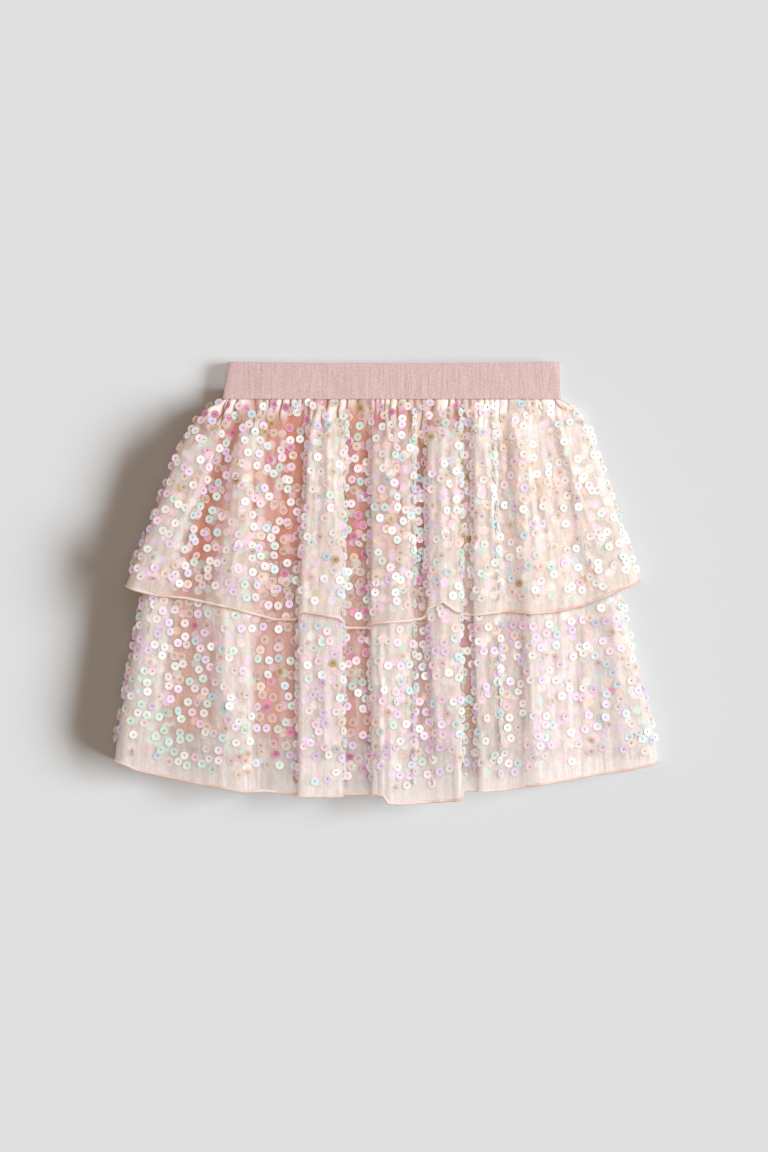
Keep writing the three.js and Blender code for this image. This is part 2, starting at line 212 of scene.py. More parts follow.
Fold = namedtuple("Fold", "waist_x hem_x low_x hem_y low_y rise low_rise")
FOLDS = [
    Fold(-114, -170, -182.5, -9, -134, 9, 9),
    Fold(-109, -146.5, -148.5, -11, -142, 3, 4),
    Fold(-99, -111, -103, -18, -150, 11, 11),
    Fold(-62, -79.5, -86.5, -26.5, -150, 2.5, 2),
    Fold(-57, -66, -66.5, -26.5, -152.5, 2, 2),
    Fold(-51.5, -60, -60.5, -20.5, -153.5, 11, 10),
    Fold(-31.5, -34.5, -34.5, -25, -153.5, 11.5, 10),
    Fold(-26, -28.5, -28.5, -32.5, -152.5, 3, 2),
    Fold(-13.5, -14.5, -14, -32.5, -152, 2, 2),
    Fold(-8, -8.5, -7.5, -29, -152, 10, 9),
    Fold(-1, -2, -2, -28.5, -152.8, 11.5, 10.5),
    Fold(5, 4, 1.5, -28, -158, 12, 11),
    Fold(15, 14.5, 9, -27.5, -159.2, 10, 8.5),
    Fold(24, 25, 28, -26, -158, 2.5, 6),
    Fold(33.5, 34, 39, -16.5, -157, 10, 7.5),
    Fold(40, 40.5, 46, -13.5, -156.6, 12, 9),
    Fold(50, 50, 51.5, -20.5, -156.4, 11, 12),
    Fold(56, 56, 57.5, -22.5, -149, 3, 2),
    Fold(59.5, 59.5, 63, -23, -149.5, 3, 2),
    Fold(65, 65.5, 69, -23, -149.8, 10, 8),
    Fold(73, 77, 76.5, -21.5, -149.5, 9, 6),
    Fold(79, 86, 87, -20.5, -148.7, 3.5, 5),
    Fold(92, 104, 108.5, -22, -145, 11, 12),
    Fold(106, 119.5, 125, -21, -143, 8, 7),
    Fold(115, 143, 148, -16, -138.5, 5, 4.5),
    Fold(121.5, 165, 178, -7.5, -134, 9, 9),
]

BAND_BOTTOM = 132.3
BAND_TOP = 159.3
BAND_THICKNESS = 5.3
ELASTIC = 2.0
TUCK_TOP = 136
UPPER_HEM_Y = -22
LOWER_HEM_Y = -150
LOWER_SEAM_Y = 16
LAYER = 1.4
STEP_TOP, STEP_BOTTOM, STEP_LENGTH = 17, -27, 10
LINING_STEP = -116
NEST_ROOM = 1.0


def doubled(y):
    """1 where the two tiers lie on each other."""
    return (1 - ramp(STEP_TOP, STEP_TOP + STEP_LENGTH, y)) * ramp(STEP_BOTTOM - STEP_LENGTH, STEP_BOTTOM, y)


def upper_floor(y):
    return mix(3 * LAYER, 5 * LAYER + NEST_ROOM, 1 - ramp(STEP_TOP, STEP_TOP + STEP_LENGTH, y)) + 0.55


def lower_floor(y):
    on_lining = ramp(LINING_STEP - STEP_LENGTH, LINING_STEP, y)
    return mix(LAYER, LAYER * (3 + doubled(y)), on_lining) + 0.55


print("folds:", len(FOLDS))

# %% [markdown]
# A tier is one tube of tulle. It could be made as two flat sheets and a seam, but then the sides
# would be hard edges. Here one grid is wrapped round: its columns go across the front from left
# to right and back under it, and its rows go down from the waist to the hem. The columns sit on
# the folds, so a fold keeps its crest and its floor from the waist to the hem.

# %% Columns round a tier
Tier = namedtuple("Tier", "top_y sides corners hem floor back_z back_hem radius growth pitch gathers")
Column = namedtuple("Column", "part a b share side turn inward hem_share across")
SIDE_STEPS = 9
BACK_PITCH = 4.6


def round_columns(pitch, width):
    """The columns of a tube: left side, folds, right side, then the back from right to left."""
    columns = []

    def turned(side):
        steps = []
        for step in range(SIDE_STEPS):
            turn = 90 * (1 - step / SIDE_STEPS)
            hem_share = 0.5 * (step / SIDE_STEPS) ** 1.5
            steps.append(Column("side", 0, 0, 0, side, turn, 0, hem_share, 0))
        for inward in (0.12, 0.4, 0.7):
            steps.append(Column("side", 0, 0, 0, side, 0, inward, mix(0.5, 1, inward), 0))
        return steps

    columns += turned("left")
    for index, fold in enumerate(FOLDS):
        columns.append(Column("fold", index, min(index + 1, len(FOLDS) - 1), 0, "", 0, 0, 0, 0))
        if index + 1 < len(FOLDS):
            steps = max(6, round((FOLDS[index + 1].hem_x - fold.hem_x) / pitch))
            for step in range(1, steps):
                columns.append(Column("fold", index, index + 1, step / steps, "", 0, 0, 0, 0))
    columns += turned("right")[::-1]
    back_steps = round(width / BACK_PITCH)
    for step in range(1, back_steps):
        columns.append(Column("back", 0, 0, 0, "", 0, 0, 0, 1 - step / back_steps))
    return columns


# %% [markdown]
# The waist of the skirt is gathered: the cloth stands in small uneven puckers that run into the
# larger folds within a few centimetres. Their spacing, height and length change from one to the
# next. They could be random, but a sum of a few slow waves gives the same picture on every run.
# Long soft creases are added from a table: where each starts and ends, its width and its
# depth. The hidden back has its own.

# %% Gathers and creases
PUCKER_PITCH = 5.8
PUCKER_HEIGHT = 2.8
PUCKER_LENGTH = 30
PUCKER_SLANT = 1.7


def puckers(x_at_seam, below):
    """Phase of the small gathers, how much of them is left, and the height they stand to."""
    slant = PUCKER_SLANT * np.sin(below / 7 + x_at_seam / 6.3) * smooth(1, 12, below)
    phase = 2 * np.pi * x_at_seam / PUCKER_PITCH + slant
    phase = phase + 4.2 * np.sin(x_at_seam / 11) + 1.8 * np.sin(x_at_seam / 4.3 + 1)
    size = 0.62 + 0.25 * np.sin(x_at_seam / 8.7 + 2) + 0.13 * np.sin(x_at_seam / 2.9)
    length = PUCKER_LENGTH * (0.7 + 0.35 * np.sin(x_at_seam / 9.3) + 0.35 * np.sin(x_at_seam / 3.1))
    away = np.clip(below, 0, None) / np.clip(length, 12, None)
    height = PUCKER_HEIGHT * np.abs(np.sin(phase / 2)) ** 0.7 * size
    height = height * np.exp(-(away**2)) * smooth(-3, 2, below)
    strength = 0.66 + 0.34 * np.sin(x_at_seam / 6.1 + 0.7 + below / 9)
    return phase, strength * np.exp(-1.6 * away**2), height


Crease = namedtuple("Crease", "top_x top_y low_x low_y width depth")
UPPER_CREASES = [
    Crease(-104, 122, -138, 40, 3.0, -1.6), Crease(-92, 118, -96, 20, 2.4, -1.3),
    Crease(-86, 124, -84, 60, 2.0, -1.1), Crease(-75, 121, -78, 30, 2.6, 1.3),
    Crease(-120, 104, -160, 10, 3.5, 1.2), Crease(-132, 92, -178, 8, 2.5, -1.0),
    Crease(-47, 120, -50, 0, 1.8, -0.9), Crease(-41, 126, -43, 50, 1.6, 1.0),
    Crease(-36, 110, -38, -14, 1.8, 0.8), Crease(-20, 118, -22, 40, 1.8, 0.9),
    Crease(9, 120, 9, -10, 2.2, -1.2), Crease(0, 126, 1, 60, 1.8, 0.9),
    Crease(20, 118, 20, 40, 1.6, 0.8), Crease(44, 122, 45, 10, 1.8, -0.9),
    Crease(69, 118, 81, 2, 1.8, 1.4), Crease(87, 122, 97, 92, 2.0, 1.6),
    Crease(84, 108, 90, 60, 2.0, -1.0), Crease(99, 112, 113, -10, 2.2, 1.3),
    Crease(112, 108, 128, 20, 2.4, -1.0), Crease(122, 112, 146, 40, 2.6, 1.1),
    Crease(131, 110, 160, 24, 2.2, -0.9), Crease(104, 90, 118, 10, 1.8, -0.8),
    Crease(-66, 100, -72, 10, 1.6, 0.8), Crease(-98, 60, -114, -8, 2.0, 0.9),
    Crease(-128, 60, -142, -2, 2.4, -0.9), Crease(134, 60, 150, 2, 2.2, 0.9),
]
LOWER_CREASES = [
    Crease(-160, -20, -166, -110, 3.0, 1.0), Crease(-128, -20, -126, -120, 3.5, -1.1),
    Crease(-116, -10, -112, -140, 2.6, 1.2), Crease(-100, -14, -98, -146, 2.2, 1.0),
    Crease(-92, -20, -94, -130, 2.0, -0.9), Crease(-74, -30, -76, -140, 2.0, 0.8),
    Crease(-52, -24, -51, -148, 1.8, -0.9), Crease(-44, -24, -43, -150, 1.8, 0.8),
    Crease(-22, -32, -21, -140, 1.8, 0.8), Crease(-4, -28, -4, -150, 1.5, 1.1),
    Crease(20, -30, 24, -120, 2.6, -0.9), Crease(34, -24, 38, -140, 2.4, 0.7),
    Crease(73, -24, 72, -146, 1.8, -0.8), Crease(94, -24, 98, -120, 2.6, -0.9),
    Crease(103, -24, 106, -130, 1.8, 1.0), Crease(114, -24, 118, -130, 2.0, 0.9),
    Crease(134, -18, 140, -110, 3.4, -0.9), Crease(160, -10, 170, -90, 2.8, 0.9),
    Crease(170, -30, 186, -110, 2.2, -0.8), Crease(-176, -40, -186, -110, 2.2, -0.9),
]
BACK_CREASES = [
    Crease(-100, 128, -130, 30, 3.5, 1.0), Crease(-80, 130, -96, -6, 3.0, 0.9),
    Crease(-58, 130, -70, 20, 3.6, 1.0), Crease(-34, 130, -40, -10, 3.0, 0.8),
    Crease(-12, 130, -14, 40, 3.2, 1.0), Crease(10, 130, 12, -12, 3.6, 0.9),
    Crease(30, 130, 36, 30, 2.8, 1.0), Crease(54, 130, 66, -8, 3.4, 0.9),
    Crease(76, 130, 92, 40, 3.0, 1.0), Crease(98, 128, 124, 0, 3.4, 0.9),
    Crease(-150, -50, -160, -118, 4.0, 0.9), Crease(-110, -44, -116, -128, 3.6, 1.0),
    Crease(-66, -44, -70, -132, 3.2, 0.8), Crease(-24, -44, -26, -134, 3.8, 1.0),
    Crease(18, -44, 20, -136, 3.2, 0.9), Crease(60, -44, 66, -130, 3.6, 1.0),
    Crease(104, -44, 114, -128, 3.2, 0.9), Crease(146, -50, 158, -118, 4.0, 0.9),
]


def creased(creases, x, y):
    """The soft troughs and ridges of a table of creases at the points x, y."""
    height = np.zeros_like(x)
    for crease in creases:
        run = np.array([crease.low_x - crease.top_x, crease.low_y - crease.top_y])
        length = np.hypot(*run)
        unit = run / length
        ahead = (x - crease.top_x) * unit[0] + (y - crease.top_y) * unit[1]
        aside = (x - crease.top_x) * unit[1] - (y - crease.top_y) * unit[0]
        aside = aside + 0.35 * crease.width * np.sin(ahead / (4.2 * crease.width))
        ends = smooth(0, 0.25 * length, ahead) * (1 - smooth(0.65 * length, length, ahead))
        height += crease.depth * ends * np.exp(-((aside / crease.width) ** 2))
    return height


print("creases:", len(UPPER_CREASES), len(LOWER_CREASES), len(BACK_CREASES))

# %% [markdown]
# Now the points of a tier. Between the floor and the crest of a fold the height follows half a
# wave. Where the photograph shows a sharp edge the two lie close together, and there the cloth
# leans over a little: its place across swings out and back, so the wall is upright with a round
# lip, as in a pressed pleat. At the sides the cloth turns down through a quarter round. On the
# right the net lies bunched over itself between the folds, so the marks are raised there.

# %% Points of a tier
LIP = 0.2
LIP_WIDTH = 11
BUNCHED = 0.6
BUNCHED_X = (42, 78)
BUNCHED_SHIFT = 27
TUCK_LEVEL = {"back": 2.35, "lining": 2.65, "front": 2.95}


def fold_place(fold, y):
    upper = mix(fold.hem_x, fold.waist_x, (y - UPPER_HEM_Y) / (BAND_BOTTOM - UPPER_HEM_Y))
    lower = mix(fold.low_x, fold.hem_x, (y - LOWER_HEM_Y) / (UPPER_HEM_Y - LOWER_HEM_Y))
    return np.where(y > UPPER_HEM_Y, upper, lower)


def fold_rise(fold, y):
    return mix(fold.rise, fold.low_rise, ramp(0, 1, (UPPER_HEM_Y - y) / (UPPER_HEM_Y - LOWER_HEM_Y)))


def tier_points(tier, columns, rows):
    """Arrays of points and of marks, shaped rows by columns.

    The marks are how far the point lies up its fold, the phase of the small gathers and their strength.
    """
    points = np.zeros((rows, len(columns), 3))
    marks = np.zeros((rows, len(columns), 3))
    shares = np.linspace(0, 1, rows)
    for number, column in enumerate(columns):
        if column.part == "back":
            edge = 2 * column.across - 1
            hem_y = mix(tier.back_hem[0], tier.back_hem[1], 1 - edge * edge)
            near = smooth(0.9, 1, abs(edge))
            corner = tier.corners[0] if edge < 0 else tier.corners[1]
            hem_y = mix(hem_y, corner, near)
            y = mix(tier.top_y, hem_y, shares)
            left, right = along(tier.sides, y, "left") + 0.6, along(tier.sides, y, "right") - 0.6
            x = mix(left, right, column.across)
            z = tier.back_z(y) + creased(BACK_CREASES, x, y) * (1 - near)
            points[:, number] = np.stack([x, y, z], 1)
            marks[:, number, 0] = 0.3
            continue
        if column.part == "fold":
            a, b, share = FOLDS[column.a], FOLDS[column.b], column.share
            hem_y = mix(getattr(a, tier.hem), getattr(b, tier.hem), share)
        else:
            a = b = FOLDS[0] if column.side == "left" else FOLDS[-1]
            share = 0
            corner = tier.corners[0] if column.side == "left" else tier.corners[1]
            hem_y = mix(corner, getattr(a, tier.hem), column.hem_share)
        y = mix(tier.top_y, hem_y, shares)
        below = BAND_BOTTOM - y if tier.top_y > BAND_BOTTOM else tier.top_y - y
        wave = (1 - math.cos(math.pi * share)) / 2
        rise_a, rise_b = fold_rise(a, y), fold_rise(b, y)
        rise = mix(rise_a, rise_b, wave) * tier.growth(y)
        place_a, place_b = fold_place(a, y), fold_place(b, y)
        lip = LIP * (1 - smooth(LIP_WIDTH - 3, LIP_WIDTH + 2, abs(place_b - place_a)))
        lip = lip * smooth(3, 7, abs(rise_b - rise_a)) * tier.growth(y)
        x = mix(place_a, place_b, share + lip * math.sin(2 * math.pi * share))
        seam_x = mix(a.waist_x, b.waist_x, share)
        if column.part == "side":
            inwards = 1 if column.side == "left" else -1
            turn = math.radians(column.turn)
            outline = along(tier.sides, y, column.side)
            reach = tier.radius(y) * (1 - math.sin(turn)) + 0.6
            x = mix(outline + inwards * reach, place_a, column.inward)
            seam_x = x[0]
        phase, gather, small = puckers(seam_x, below)
        top = tier.floor(y) + rise + small * tier.gathers
        z = mix(tier.back_z(y), top, math.cos(math.radians(column.turn)))
        points[:, number] = np.stack([x, y, z], 1)
        shifted = x - BUNCHED_SHIFT * smooth(UPPER_HEM_Y, UPPER_HEM_Y - 8, y)
        bunched = BUNCHED * smooth(*BUNCHED_X, shifted) * smooth(0, 0.5, 1 - rise / 10)
        marks[:, number] = np.stack([np.clip(rise / 10, 0, 1) + bunched, phase, gather * tier.gathers], 1)
    return points, marks


def crumpled(x, y):
    """The fine unevenness of net that has been folded and shaken out."""
    drift = np.sin(y / 23 + x / 31)
    wide = np.sin(x / 1.75 + 1.1 * np.sin(y / 17) + 1.3 * np.sin(x / 7)) * (0.6 + 0.4 * drift)
    fine = np.sin(x / 1.05 - y / 9 + 1.5 * np.sin(x / 11 + y / 13)) * (0.5 - 0.5 * drift)
    across = np.sin(y / 3.1 + 1.4 * np.sin(x / 6) + 0.9 * np.sin(y / 11)) * np.sin(x / 5 + y / 29)
    return 0.28 * wide + 0.2 * fine + 0.14 * across


def add_creases(points, marks, columns, creases):
    """Lays the listed creases on the front of a tier, and crumples it a little."""
    front = np.array([column.part == "fold" for column in columns])
    x, y = points[:, :, 0].copy(), points[:, :, 1].copy()
    height = creased(creases, x, y) * front
    below_seam = smooth(0, 20, points[0, 0, 1] - y)
    points[:, :, 2] += 1.35 * height + crumpled(x, y) * front * below_seam
    marks[:, :, 0] = np.clip(marks[:, :, 0] + 0.32 * height, 0, 1.3)


def tuck(points, columns):
    """Brings the top of the tier together between the two walls of the waistband."""
    back = np.array([column.part == "back" for column in columns])
    inside = smooth(BAND_BOTTOM - 1.5, BAND_BOTTOM + 1.2, points[:, :, 1])
    level = np.where(back, TUCK_LEVEL["back"], TUCK_LEVEL["front"])[None, :]
    points[:, :, 2] = mix(points[:, :, 2], level, inside)


UPPER_TIER = Tier(
    top_y=TUCK_TOP, sides=UPPER_SIDES, corners=(-2, 1.4), hem="hem_y", floor=upper_floor,
    back_z=lambda y: np.full_like(y, 0.95), back_hem=(-3, -21),
    radius=lambda y: mix(3, 9, smooth(0, 24, 132 - y)), growth=lambda y: smooth(0, 38, 132 - y),
    pitch=1.1, gathers=1.0,
)
LOWER_TIER = Tier(
    top_y=LOWER_SEAM_Y, sides=LOWER_SIDES, corners=(-127.7, -128.9), hem="low_y", floor=lower_floor,
    back_z=lambda y: 0.95 + LAYER * doubled(y), back_hem=(-124, -141),
    radius=lambda y: mix(5, 9, smooth(0, 36, 16 - y)), growth=lambda y: smooth(0, 38, 16 - y),
    pitch=1.6, gathers=0.5,
)

# %% [markdown]
# One grid operator makes the mesh of each tier. Its points are then moved to their places, its UV
# map is laid out in metres of cloth, and the last column is merged with the first to close the
# tube. A point attribute keeps how far the cloth stands up in a fold, for the material.

# %% Wrap a grid into a tube
def new_piece(name, mesh):
    """An object for a finished mesh, with smooth faces."""
    mesh.name = name
    mesh.shade_smooth()
    piece = bpy.data.objects.new(name, mesh)
    scene.collection.objects.link(piece)
    print(name, "faces", len(mesh.polygons))
    return piece


def wrapped_tube(name, points, marks=None):
    """A tube from an array of points in mm, shaped rows by columns, closed across its columns."""
    rows, columns = points.shape[:2]
    bm = bmesh.new()
    bmesh.ops.create_grid(bm, x_segments=columns, y_segments=rows - 1, size=1)
    bm.verts.ensure_lookup_table()
    layers = [bm.verts.layers.float.new(mark) for mark in ("fullness", "phase", "gather")]
    uv_layer = bm.loops.layers.uv.new("cloth")
    closed = np.concatenate([points, points[:, :1]], 1)
    steps = np.linalg.norm(np.diff(closed, axis=1), axis=2)
    across = np.concatenate([[0], np.cumsum(steps[rows * 2 // 3])])
    fall = np.linalg.norm(np.diff(closed[:, columns // 3], axis=0), axis=1)
    down = np.concatenate([[0], np.cumsum(fall)])
    place = {}
    for number, vertex in enumerate(bm.verts):
        column, row = number % (columns + 1), number // (columns + 1)
        row = rows - 1 - row
        vertex.co = Vector(closed[row, column]) * MM
        if marks is not None:
            for layer, mark in zip(layers, marks[row, column % columns]):
                vertex[layer] = mark
        place[vertex] = (across[column] * MM, -down[row] * MM)
    for face in bm.faces:
        for loop in face.loops:
            loop[uv_layer].uv = place[loop.vert]
    bmesh.ops.remove_doubles(bm, verts=bm.verts, dist=0.02 * MM)
    bmesh.ops.recalc_face_normals(bm, faces=bm.faces)
    mesh = bpy.data.meshes.new(name)
    bm.to_mesh(mesh)
    bm.free()
    return new_piece(name, mesh)


def thicken(piece, thickness):
    """Gives a sheet its real thickness, half on each side."""
    wall = piece.modifiers.new("thickness", "SOLIDIFY")
    wall.thickness = thickness * MM
    wall.offset = 0


# %% [markdown]
# The photograph shows more of the lining through the left of the upper tier, and through a few
# folds near its middle, than elsewhere. A second, thinner material could do that, but it would
# need a seam. A short table of places that lowers the fullness mark does it in one material. The
# sequins read the marks as they were, so none of them moves.

# %% Thinner places in the net
Thin = namedtuple("Thin", "x width amount")
THIN_PLACES = [Thin(-125, 40, 0.22), Thin(-73, 9, 0.16), Thin(3, 13, 0.35), Thin(25, 6, 0.12)]


def thinned(points, marks, columns):
    """Marks with less fullness where more of the lining shows through the front of the tier."""
    front = np.array([column.part != "back" for column in columns])
    thin = marks.copy()
    for place in THIN_PLACES:
        near = np.exp(-(((points[:, :, 0] - place.x) / place.width) ** 2))
        thin[:, :, 0] -= place.amount * near * front
    thin[:, :, 0] = np.clip(thin[:, :, 0], 0, None)
    return thin


print("thinner places:", len(THIN_PLACES))

# %% [markdown]
# Both tiers are made by the same steps: columns, points, creases, and then the tube. Only the upper
# one is tucked into the waistband. The net is given a thickness, so that its edge is a real edge.

# %% The two tiers
TIER_ROWS = 84
UPPER_WIDTH = 372
LOWER_WIDTH = 384
TULLE_THICKNESS = 0.25

upper_columns = round_columns(UPPER_TIER.pitch, UPPER_WIDTH)
upper_points, upper_marks = tier_points(UPPER_TIER, upper_columns, TIER_ROWS)
add_creases(upper_points, upper_marks, upper_columns, UPPER_CREASES)
tuck(upper_points, upper_columns)
upper_tier = wrapped_tube("upper_tier", upper_points, thinned(upper_points, upper_marks, upper_columns))

lower_columns = round_columns(LOWER_TIER.pitch, LOWER_WIDTH)
lower_points, lower_marks = tier_points(LOWER_TIER, lower_columns, TIER_ROWS)
add_creases(lower_points, lower_marks, lower_columns, LOWER_CREASES)
lower_tier = wrapped_tube("lower_tier", lower_points, lower_marks)
for piece in (upper_tier, lower_tier):
    thicken(piece, TULLE_THICKNESS)
print("columns:", len(upper_columns), len(lower_columns))

# %% [markdown]
# The lining is a plain woven slip, cut narrower than the tulle. It lies flat between the front and
# back tiers, so a flat tube with a few soft waves is enough: only its colour and its hem show
# through the tulle.

# %% Lining
LINING_COLUMNS = 120
LINING_ROWS = 60
LINING_HEM = (-105, -114)
LINING_THICKNESS = 0.35


def lining_points():
    half = LINING_COLUMNS // 2
    points = np.zeros((LINING_ROWS, LINING_COLUMNS, 3))
    for number in range(LINING_COLUMNS):
        front = number <= half
        across = number / half if front else 2 - number / half
        edge = 2 * across - 1
        y = mix(135, mix(LINING_HEM[0], LINING_HEM[1], 1 - edge * edge), np.linspace(0, 1, LINING_ROWS))
        x = mix(along(LINING_SIDES, y, "left"), along(LINING_SIDES, y, "right"), across)
        middle = LAYER * (1.5 + doubled(y)) + 0.85
        apart = 0.7 * (1 - smooth(0.96, 1, abs(edge)))
        wave = 0.25 * np.sin(x / 9 + 0.4 * np.sin(y / 31)) * apart
        z = middle + (apart if front else -apart) + wave
        inside = smooth(BAND_BOTTOM - 2, BAND_BOTTOM, y)
        z = mix(z, TUCK_LEVEL["lining"] + (0.15 if front else -0.15), inside)
        points[:, number] = np.stack([x, y, z], 1)
    return points


lining = wrapped_tube("lining", lining_points())
thicken(lining, LINING_THICKNESS)

# %% [markdown]
# The waistband is one loop of woven elastic, pressed flat. Its section is a long racetrack. It is
# made as a single sheet and thickened to 2 mm, so its top and bottom edges are real edges.

# %% Waistband
BAND_SIDES = [Side(159.3, -113.9, 124.6), Side(132.3, -118.4, 125.9)]
BAND_COLUMNS = 2 * (120 + 8)
BAND_ROWS = 28
BAND_TOP_SAG = 1.0


def band_points():
    radius = (BAND_THICKNESS - ELASTIC) / 2
    points = np.zeros((BAND_ROWS, BAND_COLUMNS, 3))
    y = np.linspace(BAND_TOP, BAND_BOTTOM, BAND_ROWS)
    for number in range(BAND_COLUMNS):
        half = BAND_COLUMNS // 2
        top = number < half
        share = (number if top else number - half) / half
        straight = 120 / 128
        left = along(BAND_SIDES, y, "left") + ELASTIC / 2 + radius
        right = along(BAND_SIDES, y, "right") - ELASTIC / 2 - radius
        if share < straight:
            t = share / straight
            x, z = (mix(left, right, t), radius) if top else (mix(right, left, t), -radius)
        else:
            angle = math.pi * (share - straight) / (1 - straight)
            swing, rise = radius * math.sin(angle), radius * math.cos(angle)
            x, z = (right + swing, rise) if top else (left - swing, -rise)
        off_centre = (x - (left + right) / 2) / ((right - left) / 2)
        lift = (y - BAND_BOTTOM) / (BAND_TOP - BAND_BOTTOM)
        level = y - BAND_TOP_SAG * lift * np.clip(1 - off_centre**2, 0, 1)
        ripple = 0.1 * np.sin(x / 4.1 + 0.8 * np.sin(x / 17)) * smooth(8, 0, y - BAND_BOTTOM)
        points[:, number] = np.stack([x, level, BAND_THICKNESS / 2 + z + ripple * top], 1)
    return points


waistband = wrapped_tube("waist_elastic", band_points())
thicken(waistband, ELASTIC)

# %% [markdown]
# Both tiers end in a narrow rolled hem, sewn over with peach thread. It is a thin round cord along
# the edge of the cloth, front and back. A curve with a round bevel makes it, and is then turned
# into a mesh.

# %% Rolled hems
HEM_RADIUS = 1.05


def rolled_hem(name, points):
    """A closed cord along the last row of a tier."""
    edge = points[-1]
    gap = np.linalg.norm(np.diff(edge, axis=0, append=edge[:1]), axis=1)
    kept = [edge[0]]
    run = 0.0
    for number in range(1, len(edge)):
        run += gap[number - 1]
        if run > 1.0:
            kept.append(edge[number])
            run = 0.0
    curve = bpy.data.curves.new(name, "CURVE")
    curve.dimensions = "3D"
    curve.bevel_depth = HEM_RADIUS * MM
    curve.bevel_resolution = 2
    curve.resolution_u = 1
    spline = curve.splines.new("POLY")
    spline.points.add(len(kept) - 1)
    for number, (point, place) in enumerate(zip(spline.points, kept)):
        swell = 0.08 * math.sin(number * 0.9) + 0.06 * math.sin(number * 0.37)
        swell -= 0.4 * (place[2] < 3)
        point.co = (*(Vector(place) * MM + Vector((0, 0.3 * MM, 0))), 1)
        point.radius = 1 + swell
    spline.use_cyclic_u = True
    maker = bpy.data.objects.new(name + "_curve", curve)
    scene.collection.objects.link(maker)
    mesh = bpy.data.meshes.new_from_object(maker.evaluated_get(bpy.context.evaluated_depsgraph_get()))
    bpy.data.objects.remove(maker)
    return new_piece(name, mesh)


upper_hem = rolled_hem("upper_hem", upper_points)
lower_hem = rolled_hem("lower_hem", lower_points)

# %% [markdown]
# A row of small stitches holds the gathers to the lower edge of the elastic. One stitch is a tiny
# flattened ball, made again at each place along the edge, all in one mesh.

# %% Waist stitches
STITCH_PITCH = 3.0
STITCH_RADIUS = 0.4


def waist_stitches():
    bm = bmesh.new()
    left, right = [along(BAND_SIDES, BAND_BOTTOM, side) for side in ("left", "right")]
    count = int((right - left) / STITCH_PITCH)
    for front in (True, False):
        for number in range(1, count):
            x = left + number * STITCH_PITCH
            made = bmesh.ops.create_uvsphere(bm, u_segments=6, v_segments=4, radius=STITCH_RADIUS * MM)
            verts = made["verts"]
            bmesh.ops.scale(bm, vec=(0.8, 0.9, 0.5), verts=verts)
            z = BAND_THICKNESS + 0.02 if front else 0.1
            shift = Vector((x + 0.3 * math.sin(number * 2.1), BAND_BOTTOM + 0.3, z)) * MM
            bmesh.ops.translate(bm, vec=shift, verts=verts)
    mesh = bpy.data.meshes.new("waist_stitches")
    bm.to_mesh(mesh)
    bm.free()
    return new_piece("waist_stitches", mesh)


stitches = waist_stitches()

# %% [markdown]
# A sequin is a disc of pearly film, 6.1 mm across, pressed into a shallow cup with a hole for the
# thread. Thousands of them are needed, so one sequin has only a few dozen faces: a circle is
# extruded inwards three times, for the rim, the slope and the floor of the cup, and the last ring
# is closed by a face that the material makes dark: the thread in the hole, and painted shade in
# the hole. Its UV map holds the distance from the middle.

# %% One sequin
SEQUIN_RADIUS = 3.05
SEQUIN_SEGMENTS = 12
Ring = namedtuple("Ring", "radius level")
SEQUIN_RINGS = [Ring(3.05, 0.24), Ring(2.7, 0.27), Ring(1.6, 0.05), Ring(0.5, 0.0), Ring(0.4, 0.0)]


def one_sequin():
    bm = bmesh.new()
    first = SEQUIN_RINGS[0]
    bmesh.ops.create_circle(bm, cap_ends=False, segments=SEQUIN_SEGMENTS, radius=first.radius * MM)
    bmesh.ops.translate(bm, vec=(0, 0, first.level * MM), verts=bm.verts)
    edges = bm.edges[:]
    before = first
    for ring in SEQUIN_RINGS[1:]:
        made = bmesh.ops.extrude_edge_only(bm, edges=edges)["geom"]
        verts = [part for part in made if isinstance(part, bmesh.types.BMVert)]
        edges = [part for part in made if isinstance(part, bmesh.types.BMEdge)]
        smaller = ring.radius / before.radius
        bmesh.ops.scale(bm, vec=(smaller, smaller, 1), verts=verts)
        bmesh.ops.translate(bm, vec=(0, 0, (ring.level - before.level) * MM), verts=verts)
        before = ring
    bmesh.ops.contextual_create(bm, geom=edges)
    bmesh.ops.recalc_face_normals(bm, faces=bm.faces)
    if sum(face.normal.z for face in bm.faces) < 0:
        bmesh.ops.reverse_faces(bm, faces=bm.faces)
    uv_layer = bm.loops.layers.uv.new("disc")
    for face in bm.faces:
        for loop in face.loops:
            distance = Vector(loop.vert.co[:2]).length / (SEQUIN_RADIUS * MM)
            loop[uv_layer].uv = (distance, 0)
    mesh = bpy.data.meshes.new("one_sequin")
    bm.to_mesh(mesh)
    bm.free()
    mesh.shade_smooth()
    return bpy.data.objects.new("one_sequin", mesh)


sequin = one_sequin()
print("faces of one sequin:", len(sequin.data.polygons))
